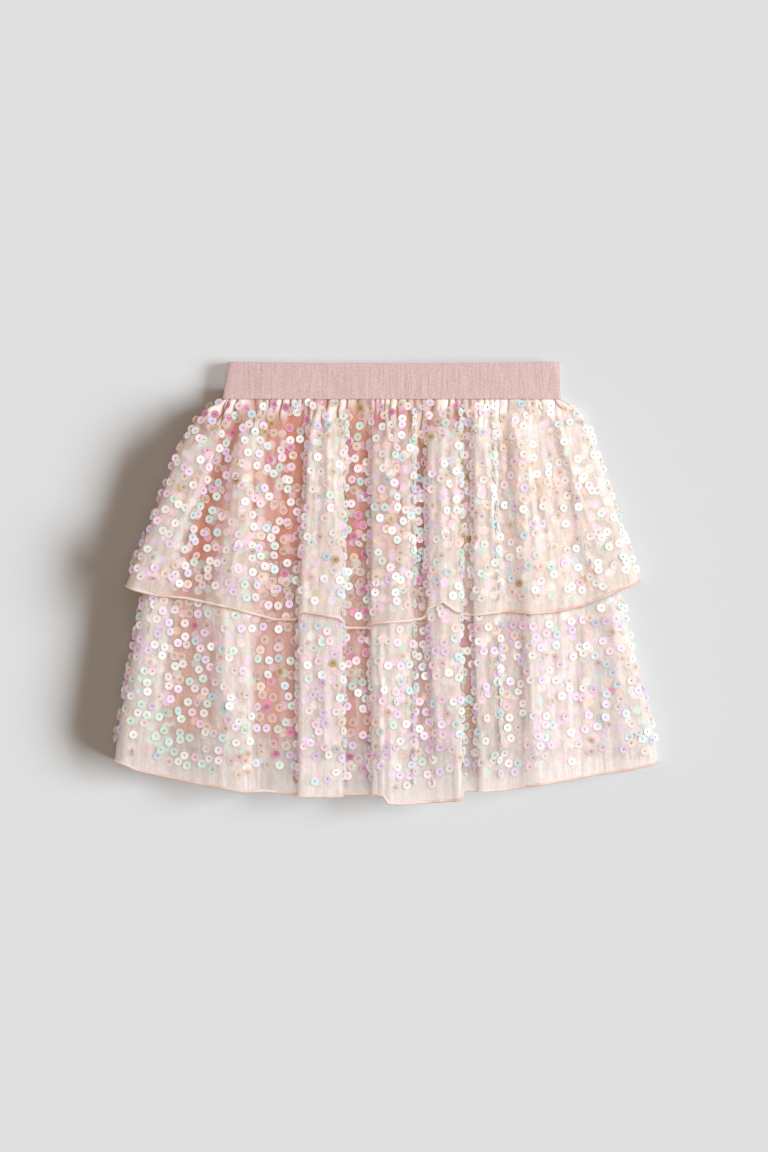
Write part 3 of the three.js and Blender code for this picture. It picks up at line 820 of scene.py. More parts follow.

# %% [markdown]
# On the real cloth the sequins are sewn in rows that wander a little. So each row here is laid
# along the folded cloth by its true length, and every place is moved a little aside. The colour of
# each sequin is picked from a short palette, and paints what its pearly film sends back: white is
# a painted glint, and mint, aqua, lilac, pink and magenta are painted iridescent reflections. The
# photograph has patches where one colour is common, and the deep folds hold more mint and magenta,
# so the picks lean that way. In the upper right the colours are milky, so white, pearl and peach
# are picked more often there.
# Beside these crisp sequins there are veiled ones, in fuller colours but see-through, which look
# as if a layer of net lay over them. On the steep sides of the folds the sequins lie in chains.

# %% Where the sequins go
Sown = namedtuple("Sown", "place out tint fold")
# White in this palette is a painted glint; mint, aqua, lilac, pink and magenta paint reflections.
PALETTE = {
    "white": screen(247, 245, 245, 0.98), "pearl": screen(247, 238, 238, 0.93),
    "mint": screen(212, 235, 225, 0.92), "aqua": screen(210, 232, 240, 0.92),
    "lilac": screen(238, 218, 248, 0.93), "pink": screen(250, 220, 236, 0.92),
    "magenta": screen(224, 130, 178, 0.75), "peach": screen(248, 222, 206, 0.7),
    "gold": screen(190, 166, 96, 0.65), "clear": screen(236, 212, 202, 0.46),
}
COMMON = {
    "white": 18, "pearl": 20, "mint": 9, "aqua": 6, "lilac": 12,
    "pink": 18, "magenta": 1, "peach": 10, "gold": 1, "clear": 4,
}
DEEP = {
    "white": 6, "pearl": 7, "mint": 14, "aqua": 5, "lilac": 7,
    "pink": 16, "magenta": 15, "peach": 10, "gold": 2, "clear": 26,
}
MILKY_X = (25, 90)
MILKY_Y = (-40, 0)
BARE_UNDER_BAND = 2.6
WALL_RISE = 5
Patch = namedtuple("Patch", "x y radius tint strength")
PATCHES = [
    Patch(-120, 60, 40, "pink", 26), Patch(-150, 14, 26, "gold", 9), Patch(-140, 22, 30, "lilac", 10),
    Patch(-78, 90, 26, "magenta", 14), Patch(-72, 20, 24, "pink", 26), Patch(-40, 50, 20, "mint", 14),
    Patch(-15, 40, 20, "magenta", 12), Patch(20, 70, 18, "magenta", 16), Patch(40, 96, 30, "gold", 8),
    Patch(60, 10, 20, "mint", 16), Patch(100, 60, 40, "peach", 16), Patch(120, 20, 34, "pink", 18),
    Patch(140, 90, 30, "white", 8), Patch(160, 30, 24, "white", 14), Patch(88, 50, 22, "aqua", 12),
    Patch(-160, -50, 30, "lilac", 26), Patch(-160, -110, 34, "mint", 46), Patch(-120, -100, 24, "aqua", 12),
    Patch(-105, -130, 26, "peach", 16), Patch(-72, -70, 20, "mint", 20), Patch(-65, -110, 16, "magenta", 20),
    Patch(-44, -90, 22, "lilac", 20), Patch(-14, -120, 18, "magenta", 14), Patch(24, -100, 26, "lilac", 26),
    Patch(35, -60, 20, "aqua", 18), Patch(66, -90, 22, "mint", 20), Patch(88, -60, 22, "lilac", 16),
    Patch(104, -90, 24, "white", 30), Patch(140, -60, 28, "aqua", 36), Patch(165, -60, 20, "peach", 22),
    Patch(168, -105, 26, "lilac", 40), Patch(112, -130, 26, "pink", 22), Patch(185, -90, 20, "white", 24),
]


PALE = {
    "white": 1.2, "pearl": 1.6, "peach": 1.6, "pink": 1.2,
    "lilac": 0.5, "mint": 0.35, "aqua": 0.35, "gold": 0,
}
VEILED = {
    "white": 0.5, "pearl": 0.8, "pink": 1.6, "lilac": 1.6,
    "mint": 1.6, "peach": 1.0, "gold": 0.25, "clear": 0,
}
VEILED_ALPHA = 0.3


def pick_tint(generator, x, y, fold, front, leaning=None):
    """A colour from the palette. A table of factors can lean the pick towards some of them."""
    weights = {name: mix(DEEP[name], COMMON[name], smooth(0.15, 0.6, fold)) for name in PALETTE}
    if front:
        for patch in PATCHES:
            distance = math.hypot(x - patch.x, y - patch.y) / patch.radius
            weights[patch.tint] += patch.strength * math.exp(-distance * distance)
        milky = smooth(*MILKY_X, x) * smooth(*MILKY_Y, y)
        for name in ("mint", "aqua", "lilac", "magenta", "pink"):
            weights[name] *= 1 - 0.7 * milky
        for name in ("white", "pearl", "peach"):
            weights[name] *= 1 + milky
    weights["magenta"] *= 1 - 0.96 * smooth(0.25, 0.6, fold)
    for name, factor in (leaning or {}).items():
        weights[name] *= factor
    names = list(weights)
    chances = np.array([weights[name] for name in names], dtype=float)
    name = names[generator.choice(len(names), p=chances / chances.sum())]
    shade = generator.uniform(0.93, 1.05)
    return tuple(min(1.0, v * shade) for v in PALETTE[name][:3]) + (PALETTE[name][3],)


def veiled_tint(generator, x, y, fold):
    """The fuller colour and the low alpha of a sequin that is seen through one layer of net."""
    tint = pick_tint(generator, x, y, fold, True, VEILED)
    middle = sum(tint[:3]) / 3
    return tuple(min(1.0, max(0.0, middle + 1.25 * (v - middle))) for v in tint[:3]) + (VEILED_ALPHA,)


def sown_places(points, fullness, chosen, row_gap, gap, bare_hem, bare_top, seed, wander):
    """Places along the cloth for the chosen columns, with the outward direction of the cloth."""
    generator = np.random.default_rng(seed)
    rows, columns = points.shape[:2]
    across = np.roll(points, -1, 1) - np.roll(points, 1, 1)
    down = np.gradient(points, axis=0)
    out = np.cross(down, across)
    out /= np.linalg.norm(out, axis=2, keepdims=True) + 1e-9
    lengths = np.linalg.norm(np.diff(points, axis=0), axis=2).sum(0)
    middle_length = float(np.median(lengths[chosen]))
    sown = []
    count = int((middle_length - bare_hem - bare_top) / row_gap)
    for line in range(count + 1):
        base = bare_top + line * row_gap
        run = base / middle_length * (rows - 1)
        strip = points[int(run)][chosen]
        steps = np.concatenate([[0], np.cumsum(np.linalg.norm(np.diff(strip, axis=0), axis=1))])
        place = gap * (0.5 * (line % 2) + generator.uniform(-0.2, 0.2))
        while place < steps[-1]:
            spot = np.clip(place + generator.normal(0, wander), 0, steps[-1] - 1e-3)
            at = np.interp(spot, steps, np.arange(len(chosen)))
            column = chosen[int(at)]
            following = chosen[min(int(at) + 1, len(chosen) - 1)]
            part = at - int(at)
            row = np.clip(run + generator.normal(0, wander) / middle_length * (rows - 1), 1, rows - 1.001)
            low, high, rest = int(row), int(row) + 1, row - int(row)
            above = mix(points[low][column], points[low][following], part)
            beneath = mix(points[high][column], points[high][following], part)
            point = mix(above, beneath, rest)
            away = (len(points) - 1 - row) / (rows - 1) * lengths[column]
            if away > bare_hem and point[1] < BAND_BOTTOM - BARE_UNDER_BAND:
                outward = out[low][column]
                fold = fullness[low][column]
                sown.append((point, outward, fold))
            place += gap
    return sown, generator


FLOOR_GAP = 0.1


def set_down(place, facing, tint, fold):
    """A sequin at its place, lifted where its rim would go into the floor."""
    facing = facing / np.linalg.norm(facing)
    rim = place[2] - SEQUIN_RADIUS * math.sqrt(max(0, 1 - facing[2] ** 2)) - 0.3 * abs(facing[2])
    lift = max(0.0, FLOOR_GAP - rim)
    return Sown(place + np.array([0, 0, lift]), facing, tint, fold)


def under_upper_hem(point):
    """True where the upper tier lies over this place of the lower one."""
    front = [number for number, column in enumerate(upper_columns) if column.part != "back"]
    edge = upper_points[-1][front]
    return point[1] > np.interp(point[0], edge[:, 0], edge[:, 1]) - 2


def sow(points, fullness, chosen, front, row_gap, gap, bare_hem, bare_top, seed, wander, veiled=False):
    """Sequins on the outside of the cloth. Veiled ones look as if a layer of net lay over them."""
    places, generator = sown_places(points, fullness, chosen, row_gap, gap, bare_hem, bare_top, seed, wander)
    sown = []
    for point, out, fold in places:
        tint = pick_tint(generator, point[0], point[1], fold, front)
        loose = 0.3 if generator.random() < 0.14 else 0.09
        lean = generator.normal(0, loose if front else 0.02, 3)
        side = 1 - abs(out[2])
        level = np.array([0, 0, 0.9 * side]) if front else np.zeros(3)
        chance = generator.random()
        if veiled:
            if chance > 0.1 + 0.9 * smooth(0.1, 0.7, fold) or side > 0.35:
                continue
            lean = 0.2 * lean
            tint = veiled_tint(generator, point[0], point[1], fold)
        elif front and chance < 0.32 * smooth(0.4, 1, fold) * (1 - side):
            continue
        lift = 0.3
        if front and not veiled:
            lift = 0.75 + 0.9 * abs(float(np.dot(lean, lean))) ** 0.5
            if points is lower_points and under_upper_hem(point):
                lean, lift = 0 * lean, 0.35
        sown.append(set_down(point + out * lift, out + lean + level, tint, fold))
    return sown


def sow_walls(points, columns, pitch, bare_hem, bare_top, seed):
    """Chains of sequins down the steep sides of the folds, where they are seen nearly edge on."""
    generator = np.random.default_rng(seed)
    sown = []
    for number in range(1, len(columns) - 1):
        column = columns[number]
        if column.part != "fold" or columns[number - 1].part != "fold":
            continue
        a, b = FOLDS[column.a], FOLDS[column.b]
        if not columns[number - 1].share < 0.5 <= column.share or abs(b.rise - a.rise) < WALL_RISE:
            continue
        if abs(b.hem_x - a.hem_x) > LIP_WIDTH:
            continue
        line = points[:, number]
        run = np.concatenate([[0], np.cumsum(np.linalg.norm(np.diff(line, axis=0), axis=1))])
        outward = -1 if b.rise > a.rise else 1
        place = bare_top + generator.uniform(0, pitch)
        while place < run[-1] - bare_hem:
            row = int(np.searchsorted(run, place)) - 1
            aside = outward * generator.uniform(-0.2, 1.1)
            point = line[row] + np.array([aside, 0, generator.uniform(0.6, 2.6)])
            facing = np.array([outward, 0, 0]) + np.array([0, 0, generator.uniform(0.35, 1.0)])
            facing = facing + generator.normal(0, 0.16, 3)
            tint = pick_tint(generator, point[0], point[1], 0.8, True, PALE)
            sown.append(set_down(point, facing, tint, 0.8))
            place += pitch * generator.uniform(0.75, 1.4)
    return sown


# %% [markdown]
# Geometry Nodes put one sequin on each place, turned to face out of the cloth, and then make the
# copies real. Copies joined one by one in Python would give the same mesh, but much more slowly.

# %% Set the sequins on their places
def sequin_nodes():
    tree = bpy.data.node_groups.new("set_sequins", "GeometryNodeTree")
    tree.interface.new_socket("Geometry", in_out="INPUT", socket_type="NodeSocketGeometry")
    tree.interface.new_socket("Geometry", in_out="OUTPUT", socket_type="NodeSocketGeometry")
    start = tree.nodes.new("NodeGroupInput")
    end = tree.nodes.new("NodeGroupOutput")
    shape = tree.nodes.new("GeometryNodeObjectInfo")
    shape.inputs["Object"].default_value = sequin
    turn = tree.nodes.new("GeometryNodeInputNamedAttribute")
    turn.data_type = "FLOAT_VECTOR"
    turn.inputs["Name"].default_value = "turn"
    put = tree.nodes.new("GeometryNodeInstanceOnPoints")
    real = tree.nodes.new("GeometryNodeRealizeInstances")
    tree.links.new(start.outputs["Geometry"], put.inputs["Points"])
    tree.links.new(shape.outputs["Geometry"], put.inputs["Instance"])
    tree.links.new(turn.outputs["Attribute"], put.inputs["Rotation"])
    tree.links.new(put.outputs["Instances"], real.inputs["Geometry"])
    tree.links.new(real.outputs["Geometry"], end.inputs["Geometry"])
    return tree


set_sequins = sequin_nodes()


def sequin_piece(name, sown):
    """One mesh with a sequin at each of the sown places."""
    mesh = bpy.data.meshes.new(name + "_places")
    mesh.vertices.add(len(sown))
    mesh.vertices.foreach_set("co", np.array([spot.place for spot in sown]).ravel() * MM)
    mesh.attributes.new("turn", "FLOAT_VECTOR", "POINT")
    mesh.attributes.new("tint", "FLOAT_COLOR", "POINT")
    turns = [Vector(spot.out).to_track_quat("Z", "Y").to_euler() for spot in sown]
    mesh.attributes["turn"].data.foreach_set("vector", np.array(turns).ravel())
    mesh.attributes["tint"].data.foreach_set("color", np.array([spot.tint for spot in sown]).ravel())
    holder = bpy.data.objects.new(name + "_places", mesh)
    scene.collection.objects.link(holder)
    setter = holder.modifiers.new("sequins", "NODES")
    setter.node_group = set_sequins
    made = bpy.data.meshes.new_from_object(holder.evaluated_get(bpy.context.evaluated_depsgraph_get()))
    bpy.data.objects.remove(holder)
    made.name = name
    piece = bpy.data.objects.new(name, made)
    scene.collection.objects.link(piece)
    print(name, "sequins", len(sown), "faces", len(made.polygons))
    return piece


def column_numbers(columns, back):
    return [number for number, column in enumerate(columns) if (column.part == "back") == back]


scene.collection.objects.link(sequin)
upper_front = (upper_points, upper_marks[:, :, 0], column_numbers(upper_columns, False), True)
upper_front_sequins = sequin_piece("upper_front_sequins", [
    *sow(*upper_front, row_gap=7.4, gap=8.7, bare_hem=6, bare_top=8, seed=11, wander=1.8),
    *sow(*upper_front, row_gap=6.8, gap=7.6, bare_hem=7, bare_top=6, seed=13, wander=2.4, veiled=True),
    *sow_walls(upper_points, upper_columns, pitch=6.4, bare_hem=5, bare_top=16, seed=17),
])
lower_front = (lower_points, lower_marks[:, :, 0], column_numbers(lower_columns, False), True)
lower_front_sequins = sequin_piece("lower_front_sequins", [
    *sow(*lower_front, row_gap=8.3, gap=9.1, bare_hem=11, bare_top=6, seed=23, wander=1.6),
    *sow(*lower_front, row_gap=8.6, gap=9.8, bare_hem=12, bare_top=9, seed=29, wander=2.6, veiled=True),
    *sow_walls(lower_points, lower_columns, pitch=6.8, bare_hem=11, bare_top=46, seed=31),
])
upper_back_sequins = sequin_piece("upper_back_sequins", sow(
    upper_points, upper_marks[:, :, 0], column_numbers(upper_columns, True), False,
    row_gap=8.2, gap=9.2, bare_hem=6, bare_top=8, seed=37, wander=1.5))
lower_back_sequins = sequin_piece("lower_back_sequins", sow(
    lower_points, lower_marks[:, :, 0], column_numbers(lower_columns, True), False,
    row_gap=9.0, gap=10.2, bare_hem=11, bare_top=40, seed=41, wander=1.8))
bpy.data.objects.remove(sequin)

# %% [markdown]
# Now the materials. Helpers keep the node code short: each adds a node, sets it and hands back its
# output. The net of the tulle is a node group, because both tiers use it. It could be a picture,
# but three waves at 60 degrees make six-sided holes at any scale.

# %% Node helpers
def new_material(name):
    material = bpy.data.materials.new(name)
    material.use_nodes = True
    nodes, links = material.node_tree.nodes, material.node_tree.links
    return material, nodes, links, nodes["Principled BSDF"]


def maths(nodes, links, operation, first, second=None, third=None, clamp=False):
    node = nodes.new("ShaderNodeMath")
    node.operation = operation
    node.use_clamp = clamp
    for number, value in enumerate((first, second, third)):
        if value is None:
            continue
        if isinstance(value, (int, float)):
            node.inputs[number].default_value = value
        else:
            links.new(value, node.inputs[number])
    return node.outputs[0]


def blend_colours(nodes, links, share, first, second):
    node = nodes.new("ShaderNodeMix")
    node.data_type = "RGBA"
    for socket, value in ((node.inputs[0], share), (node.inputs[6], first), (node.inputs[7], second)):
        if isinstance(value, (int, float, tuple)):
            socket.default_value = value
        else:
            links.new(value, socket)
    return node.outputs[2]


def ranged(nodes, links, value, low, high):
    """0 where the value is low and 1 where it is high."""
    node = nodes.new("ShaderNodeMapRange")
    node.inputs["From Min"].default_value = low
    node.inputs["From Max"].default_value = high
    links.new(value, node.inputs["Value"])
    return node.outputs["Result"]


def noise(nodes, links, place, scale, detail=2.0, distortion=0.0):
    node = nodes.new("ShaderNodeTexNoise")
    node.inputs["Scale"].default_value = scale
    node.inputs["Detail"].default_value = detail
    node.inputs["Distortion"].default_value = distortion
    links.new(place, node.inputs["Vector"])
    return node.outputs["Fac"]


def bumped(nodes, links, shader, height, strength, distance):
    """Raises a material's surface by a height of up to distance, in mm."""
    bump = nodes.new("ShaderNodeBump")
    bump.inputs["Strength"].default_value = strength
    bump.inputs["Distance"].default_value = distance * MM
    links.new(height, bump.inputs["Height"])
    links.new(bump.outputs["Normal"], shader.inputs["Normal"])


def net_group():
    """A six-sided net from three waves at 60 degrees: Threads is 1 on the threads and 0 in the holes."""
    tree = bpy.data.node_groups.new("tulle_net", "ShaderNodeTree")
    tree.interface.new_socket("Place", in_out="INPUT", socket_type="NodeSocketVector")
    tree.interface.new_socket("Hole", in_out="INPUT", socket_type="NodeSocketFloat")
    tree.interface.new_socket("Threads", in_out="OUTPUT", socket_type="NodeSocketFloat")
    nodes, links = tree.nodes, tree.links
    start, end = nodes.new("NodeGroupInput"), nodes.new("NodeGroupOutput")
    total = None
    for degrees in (0, 60, 120):
        dot = nodes.new("ShaderNodeVectorMath")
        dot.operation = "DOT_PRODUCT"
        links.new(start.outputs["Place"], dot.inputs[0])
        dot.inputs[1].default_value = (math.cos(math.radians(degrees)), math.sin(math.radians(degrees)), 0)
        turns = maths(nodes, links, "DIVIDE", dot.outputs["Value"], start.outputs["Hole"])
        wave = maths(nodes, links, "COSINE", maths(nodes, links, "MULTIPLY", turns, 2 * math.pi))
        total = wave if total is None else maths(nodes, links, "ADD", total, wave)
    links.new(ranged(nodes, links, total, 1.2, -0.6), end.inputs["Threads"])
    return tree


tulle_net = net_group()

# %% [markdown]
# Tulle is a net of fine threads. Its holes are too small to see one by one here, but they make the
# cloth sheer. Seen from the side, or where it is folded on itself, it turns milky. So its alpha
# comes from the net, how far the cloth stands up in a fold, the angle to the view, and streaks
# down the cloth. Between the small gathers it takes a dark, denser tone: painted shade in the gaps.
# Past the hem of the lining, where only net lies behind it, it is a little denser and whiter.

# %% Tulle
UPPER_SHEER = {"sheer": 0.1, "folded": 0.46}
LOWER_SHEER = {"sheer": 0.17, "folded": 0.4}
NET_HOLE = 1.7


def stretched_noise(nodes, links, place, across, along_cloth, detail):
    """Noise drawn out down the cloth, for streaks. The two scales are per metre."""
    stretch = nodes.new("ShaderNodeMapping")
    stretch.inputs["Scale"].default_value = (across, along_cloth, 1)
    links.new(place, stretch.inputs["Vector"])
    return noise(nodes, links, stretch.outputs["Vector"], 1.0, detail, distortion=0.6)


def tulle_material(name, sheer, folded, cream, peach):
    material, nodes, links, shader = new_material(name)
    uv = nodes.new("ShaderNodeUVMap")
    uv.uv_map = "cloth"
    net = nodes.new("ShaderNodeGroup")
    net.node_tree = tulle_net
    links.new(uv.outputs["UV"], net.inputs["Place"])
    net.inputs["Hole"].default_value = NET_HOLE * MM
    full, phase, gather = [nodes.new("ShaderNodeAttribute") for mark in range(3)]
    full.attribute_name, phase.attribute_name, gather.attribute_name = "fullness", "phase", "gather"
    wave = maths(nodes, links, "SINE", maths(nodes, links, "MULTIPLY", phase.outputs["Fac"], 0.5))
    ridge = maths(nodes, links, "POWER", maths(nodes, links, "ABSOLUTE", wave), 0.5)
    ridge = maths(nodes, links, "MULTIPLY_ADD", ridge, 3.0, -1.5)
    fold = maths(nodes, links, "POWER", full.outputs["Fac"], 1.4)
    fullness = maths(nodes, links, "MULTIPLY_ADD", ridge, gather.outputs["Fac"], fold)
    weight = nodes.new("ShaderNodeLayerWeight")
    weight.inputs["Blend"].default_value = 0.5
    streaks = stretched_noise(nodes, links, uv.outputs["UV"], 230, 20, 4)
    wisps = stretched_noise(nodes, links, uv.outputs["UV"], 420, 170, 3)

    coordinates = nodes.new("ShaderNodeTexCoord")
    parts = nodes.new("ShaderNodeSeparateXYZ")
    links.new(coordinates.outputs["Object"], parts.inputs["Vector"])
    bare = ranged(nodes, links, parts.outputs["Y"], LINING_HEM[0] * MM, (LINING_HEM[0] - 16) * MM)

    # Painted shade in the gaps between the gathers: there low makes the net denser and dark.
    low = maths(nodes, links, "MULTIPLY", fullness, -1.8, clamp=True)
    raised = maths(nodes, links, "ADD", maths(nodes, links, "MAXIMUM", fullness, -0.1), low)
    raised = maths(nodes, links, "MULTIPLY_ADD", gather.outputs["Fac"], 0.75, raised)
    facing = maths(nodes, links, "POWER", weight.outputs["Facing"], 2.6)
    alpha = maths(nodes, links, "MULTIPLY_ADD", raised, folded, sheer)
    alpha = maths(nodes, links, "MULTIPLY_ADD", facing, 0.7, alpha)
    alpha = maths(nodes, links, "MULTIPLY_ADD", bare, 0.16, alpha)
    texture = maths(nodes, links, "MULTIPLY", streaks, 1.3)
    texture = maths(nodes, links, "MULTIPLY_ADD", wisps, 0.7, texture)
    alpha = maths(nodes, links, "MULTIPLY", alpha, maths(nodes, links, "ADD", texture, 0.02))
    netted = maths(nodes, links, "MULTIPLY_ADD", net.outputs["Threads"], 0.12, 0.94)
    alpha = maths(nodes, links, "MULTIPLY", alpha, netted)
    path = nodes.new("ShaderNodeLightPath")
    shading = maths(nodes, links, "MULTIPLY_ADD", path.outputs["Is Shadow Ray"], 0.35, 1.0)
    alpha = maths(nodes, links, "MULTIPLY", alpha, shading, clamp=True)
    links.new(alpha, shader.inputs["Alpha"])

    high = maths(nodes, links, "MULTIPLY", fullness, 1.5)
    high = maths(nodes, links, "MULTIPLY_ADD", facing, -2.2, high, clamp=True)
    tone = blend_colours(nodes, links, high, peach, cream)
    tone = blend_colours(nodes, links, bare, tone, BARE_NET)
    tone = blend_colours(nodes, links, low, tone, GATHER_GAP_SHADE)
    links.new(tone, shader.inputs["Base Color"])
    bumped(nodes, links, shader, texture, 0.45, 0.6)
    shader.inputs["Roughness"].default_value = 0.9
    shader.inputs["Specular IOR Level"].default_value = 0.1
    return material


# Painted shade: the dark tone of the gaps between the small gathers.
GATHER_GAP_SHADE = screen(152, 92, 76)
BARE_NET = screen(247, 240, 238)
upper_tulle = tulle_material(
    "upper_tulle", **UPPER_SHEER, cream=screen(255, 246, 240), peach=screen(250, 217, 202))
lower_tulle = tulle_material(
    "lower_tulle", **LOWER_SHEER, cream=screen(254, 247, 244), peach=screen(250, 229, 222))

# %% [markdown]
# The lining is a plain weave in a warm terracotta pink. It is matt, and shows only a faint grain
# through the tulle. The elastic has fine upright ribs, which are noise drawn out down the band, and
# the thread of the hems is wound in small wraps, which are a wave. All three are matt or satin.

# %% Lining, elastic and thread
WRAP_PITCH = 0.9


def lining_material():
    material, nodes, links, shader = new_material("lining_cloth")
    place = nodes.new("ShaderNodeTexCoord").outputs["Object"]
    grain = noise(nodes, links, place, 900, 3)
    soft = noise(nodes, links, place, 30)
    tone = blend_colours(nodes, links, soft, screen(210, 126, 100), screen(226, 147, 120))
    links.new(tone, shader.inputs["Base Color"])
    bumped(nodes, links, shader, grain, 0.3, 0.2)
    shader.inputs["Roughness"].default_value = 0.85
    return material


def elastic_material():
    material, nodes, links, shader = new_material("ribbed_elastic")
    place = nodes.new("ShaderNodeTexCoord").outputs["Object"]
    ribs = stretched_noise(nodes, links, place, 620, 45, 2)
    grain = noise(nodes, links, place, 900)
    height = maths(nodes, links, "MULTIPLY_ADD", grain, 1.2, ribs)
    speckle = maths(nodes, links, "MULTIPLY_ADD", grain, 1.3, -0.65)
    share = maths(nodes, links, "ADD", speckle, ribs, clamp=True)
    tone = blend_colours(nodes, links, share, screen(188, 153, 154), screen(223, 202, 202))
    links.new(tone, shader.inputs["Base Color"])
    bumped(nodes, links, shader, height, 0.45, 0.25)
    shader.inputs["Roughness"].default_value = 0.8
    shader.inputs["Sheen Weight"].default_value = 0.2
    return material


def thread_material(name, light, dark):
    material, nodes, links, shader = new_material(name)
    place = nodes.new("ShaderNodeTexCoord").outputs["Object"]
    wraps = nodes.new("ShaderNodeTexWave")
    wraps.bands_direction = "X"
    wraps.inputs["Scale"].default_value = 1 / (WRAP_PITCH * MM) / (2 * math.pi) * 2
    wraps.inputs["Distortion"].default_value = 1.5
    links.new(place, wraps.inputs["Vector"])
    patches = ranged(nodes, links, noise(nodes, links, place, 42, 1), 0.42, 0.58)
    links.new(blend_colours(nodes, links, patches, dark, light), shader.inputs["Base Color"])
    bumped(nodes, links, shader, wraps.outputs["Fac"], 0.6, 0.3)
    shader.inputs["Roughness"].default_value = 0.55
    return material


lining_cloth = lining_material()
ribbed_elastic = elastic_material()
hem_thread = thread_material("hem_thread", screen(248, 231, 223), screen(234, 202, 188))
waist_thread = thread_material("waist_thread", screen(190, 146, 142), screen(160, 112, 108))

# %% [markdown]
# Sequin film is pearly: it sends back white where it catches the light, and mint, lilac or pink
# where it doesn't. Here that is painted: each sequin has its own tint as a colour attribute, and a
# white tint is a painted glint. The side of a sequin that leans one fixed way is painted more mint,
# and the other side more pink, a painted iridescent reflection. The rim is paler, a painted
# highlight on the raised edge of the cup, the floor of the cup is fuller in colour, and the middle
# is dark, for the thread in the hole and painted shade in it. A veiled sequin is told by its low
# alpha. It has no rim and no hole, and casts no shadow, as it would look grey on the net.

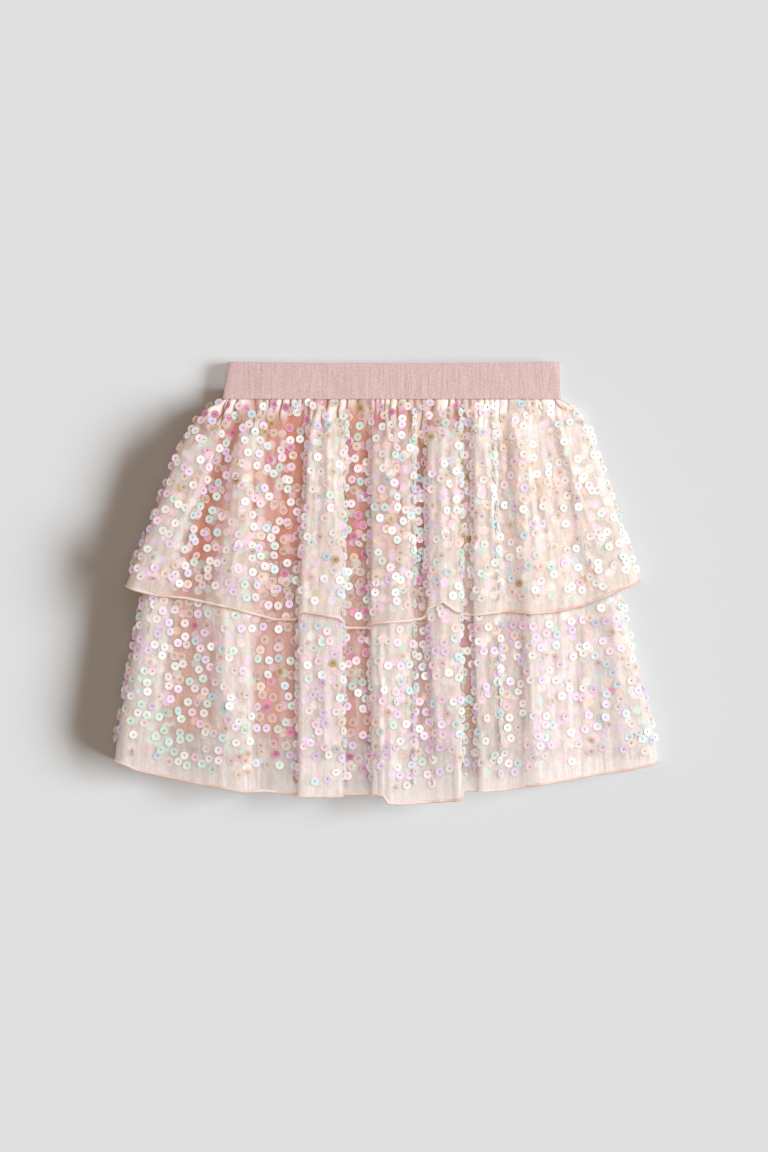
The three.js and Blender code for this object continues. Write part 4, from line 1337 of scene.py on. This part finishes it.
# %% Sequins
def sequin_material():
    material, nodes, links, shader = new_material("pearly_sequins")
    tint = nodes.new("ShaderNodeAttribute")
    tint.attribute_name = "tint"
    uv = nodes.new("ShaderNodeUVMap")
    uv.uv_map = "disc"
    parts = nodes.new("ShaderNodeSeparateXYZ")
    links.new(uv.outputs["UV"], parts.inputs["Vector"])
    distance = parts.outputs["X"]
    # Painted highlight: the rim of a crisp sequin is blended towards near white.
    rim = ranged(nodes, links, distance, 0.84, 0.95)
    bare = ranged(nodes, links, tint.outputs["Alpha"], 0.34, 0.42)
    bare_rim = maths(nodes, links, "MULTIPLY", rim, bare)
    rim_highlight = maths(nodes, links, "MULTIPLY", bare_rim, 0.4)
    # Painted iridescent reflection: a surface leaning one fixed way turns more mint, one leaning away more pink.
    surface = nodes.new("ShaderNodeNewGeometry")
    lean = nodes.new("ShaderNodeVectorMath")
    lean.operation = "DOT_PRODUCT"
    links.new(surface.outputs["Normal"], lean.inputs[0])
    lean.inputs[1].default_value = (0.5, 0.85, 0.0)
    film = tint.outputs["Color"]
    for low, high, shift in ((0.13, 0.3, (0.8, 0.95, 0.92, 1)), (-0.15, -0.32, (0.98, 0.86, 0.93, 1))):
        share = ranged(nodes, links, lean.outputs["Value"], low, high)
        shifted = nodes.new("ShaderNodeMix")
        shifted.data_type = "RGBA"
        shifted.blend_type = "MULTIPLY"
        links.new(share, shifted.inputs[0])
        links.new(film, shifted.inputs[6])
        shifted.inputs[7].default_value = shift
        film = shifted.outputs[2]
    colour = blend_colours(nodes, links, rim_highlight, film, screen(250, 246, 246))
    # The middle of a crisp sequin is dark: the thread in the hole, and painted shade in the hole.
    hole = ranged(nodes, links, distance, 0.19, 0.15)
    hole_thread_and_shade = maths(nodes, links, "MULTIPLY", hole, bare)
    colour = blend_colours(nodes, links, hole_thread_and_shade, colour, screen(62, 48, 48))
    links.new(colour, shader.inputs["Base Color"])
    veil = maths(nodes, links, "MULTIPLY_ADD", bare, -0.14, 0.14)
    solid = maths(nodes, links, "ADD", tint.outputs["Alpha"], veil)
    solid = maths(nodes, links, "MULTIPLY_ADD", bare_rim, 0.55, solid)
    solid = maths(nodes, links, "ADD", solid, hole_thread_and_shade, clamp=True)
    path = nodes.new("ShaderNodeLightPath")
    crisp = maths(nodes, links, "SUBTRACT", bare, 1.0)
    casts = maths(nodes, links, "MULTIPLY_ADD", path.outputs["Is Shadow Ray"], crisp, 1.0)
    links.new(maths(nodes, links, "MULTIPLY", solid, casts), shader.inputs["Alpha"])
    shader.inputs["Roughness"].default_value = 0.3
    shader.inputs["Specular IOR Level"].default_value = 0.6
    shader.inputs["Coat Weight"].default_value = 0.4
    shader.inputs["Coat Roughness"].default_value = 0.1
    return material


pearly_sequins = sequin_material()

# %% [markdown]
# The surface under the skirt is plain, pale and matt, and much larger than the picture.

# %% Floor
FLOOR_HALF = 3.0


def pale_floor():
    bm = bmesh.new()
    bmesh.ops.create_grid(bm, x_segments=8, y_segments=8, size=FLOOR_HALF)
    bmesh.ops.translate(bm, vec=(0, 0, -0.05 * MM), verts=bm.verts)
    mesh = bpy.data.meshes.new("floor")
    bm.to_mesh(mesh)
    bm.free()
    piece = bpy.data.objects.new("floor", mesh)
    scene.collection.objects.link(piece)
    material, nodes, links, shader = new_material("pale_floor")
    shader.inputs["Base Color"].default_value = (FLOOR_ALBEDO, FLOOR_ALBEDO, FLOOR_ALBEDO, 1)
    shader.inputs["Roughness"].default_value = 1.0
    shader.inputs["Specular IOR Level"].default_value = 0.0
    mesh.materials.append(material)
    floor_only.objects.link(piece)
    return piece


floor = pale_floor()

# %% [markdown]
# Last, each piece gets its material and rides on the skirt's one body, and the parts of the
# imported model are hidden. The tiers are gathered, so they are cut wider than what they are
# sewn to: the upper one 1.8 times the waist, and the lower one 1.4 times the skirt at its seam.

# %% Materials and body
ALL_ROUND_SEQUINS = (upper_front_sequins, lower_front_sequins, upper_back_sequins, lower_back_sequins)
FINISHES = [
    (upper_tier, upper_tulle, "tulle"), (lower_tier, lower_tulle, "tulle"),
    (lining, lining_cloth, "lining"), (waistband, ribbed_elastic, "elastic"),
    (upper_hem, hem_thread, "thread"), (lower_hem, hem_thread, "thread"),
    (stitches, waist_thread, "thread"),
]
FINISHES += [(piece, pearly_sequins, "sequins") for piece in ALL_ROUND_SEQUINS]
for piece, material, name in FINISHES:
    piece.data.materials.clear()
    piece.data.materials.append(material)
    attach(piece, "root")
    skirt_only.objects.link(piece)
    if piece is not waistband:
        below_band.objects.link(piece)

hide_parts("upper_tier_front", "upper_tier_back")
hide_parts("lower_tier_front", "lower_tier_back")
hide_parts("lining_front", "lining_back")
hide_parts("waistband")
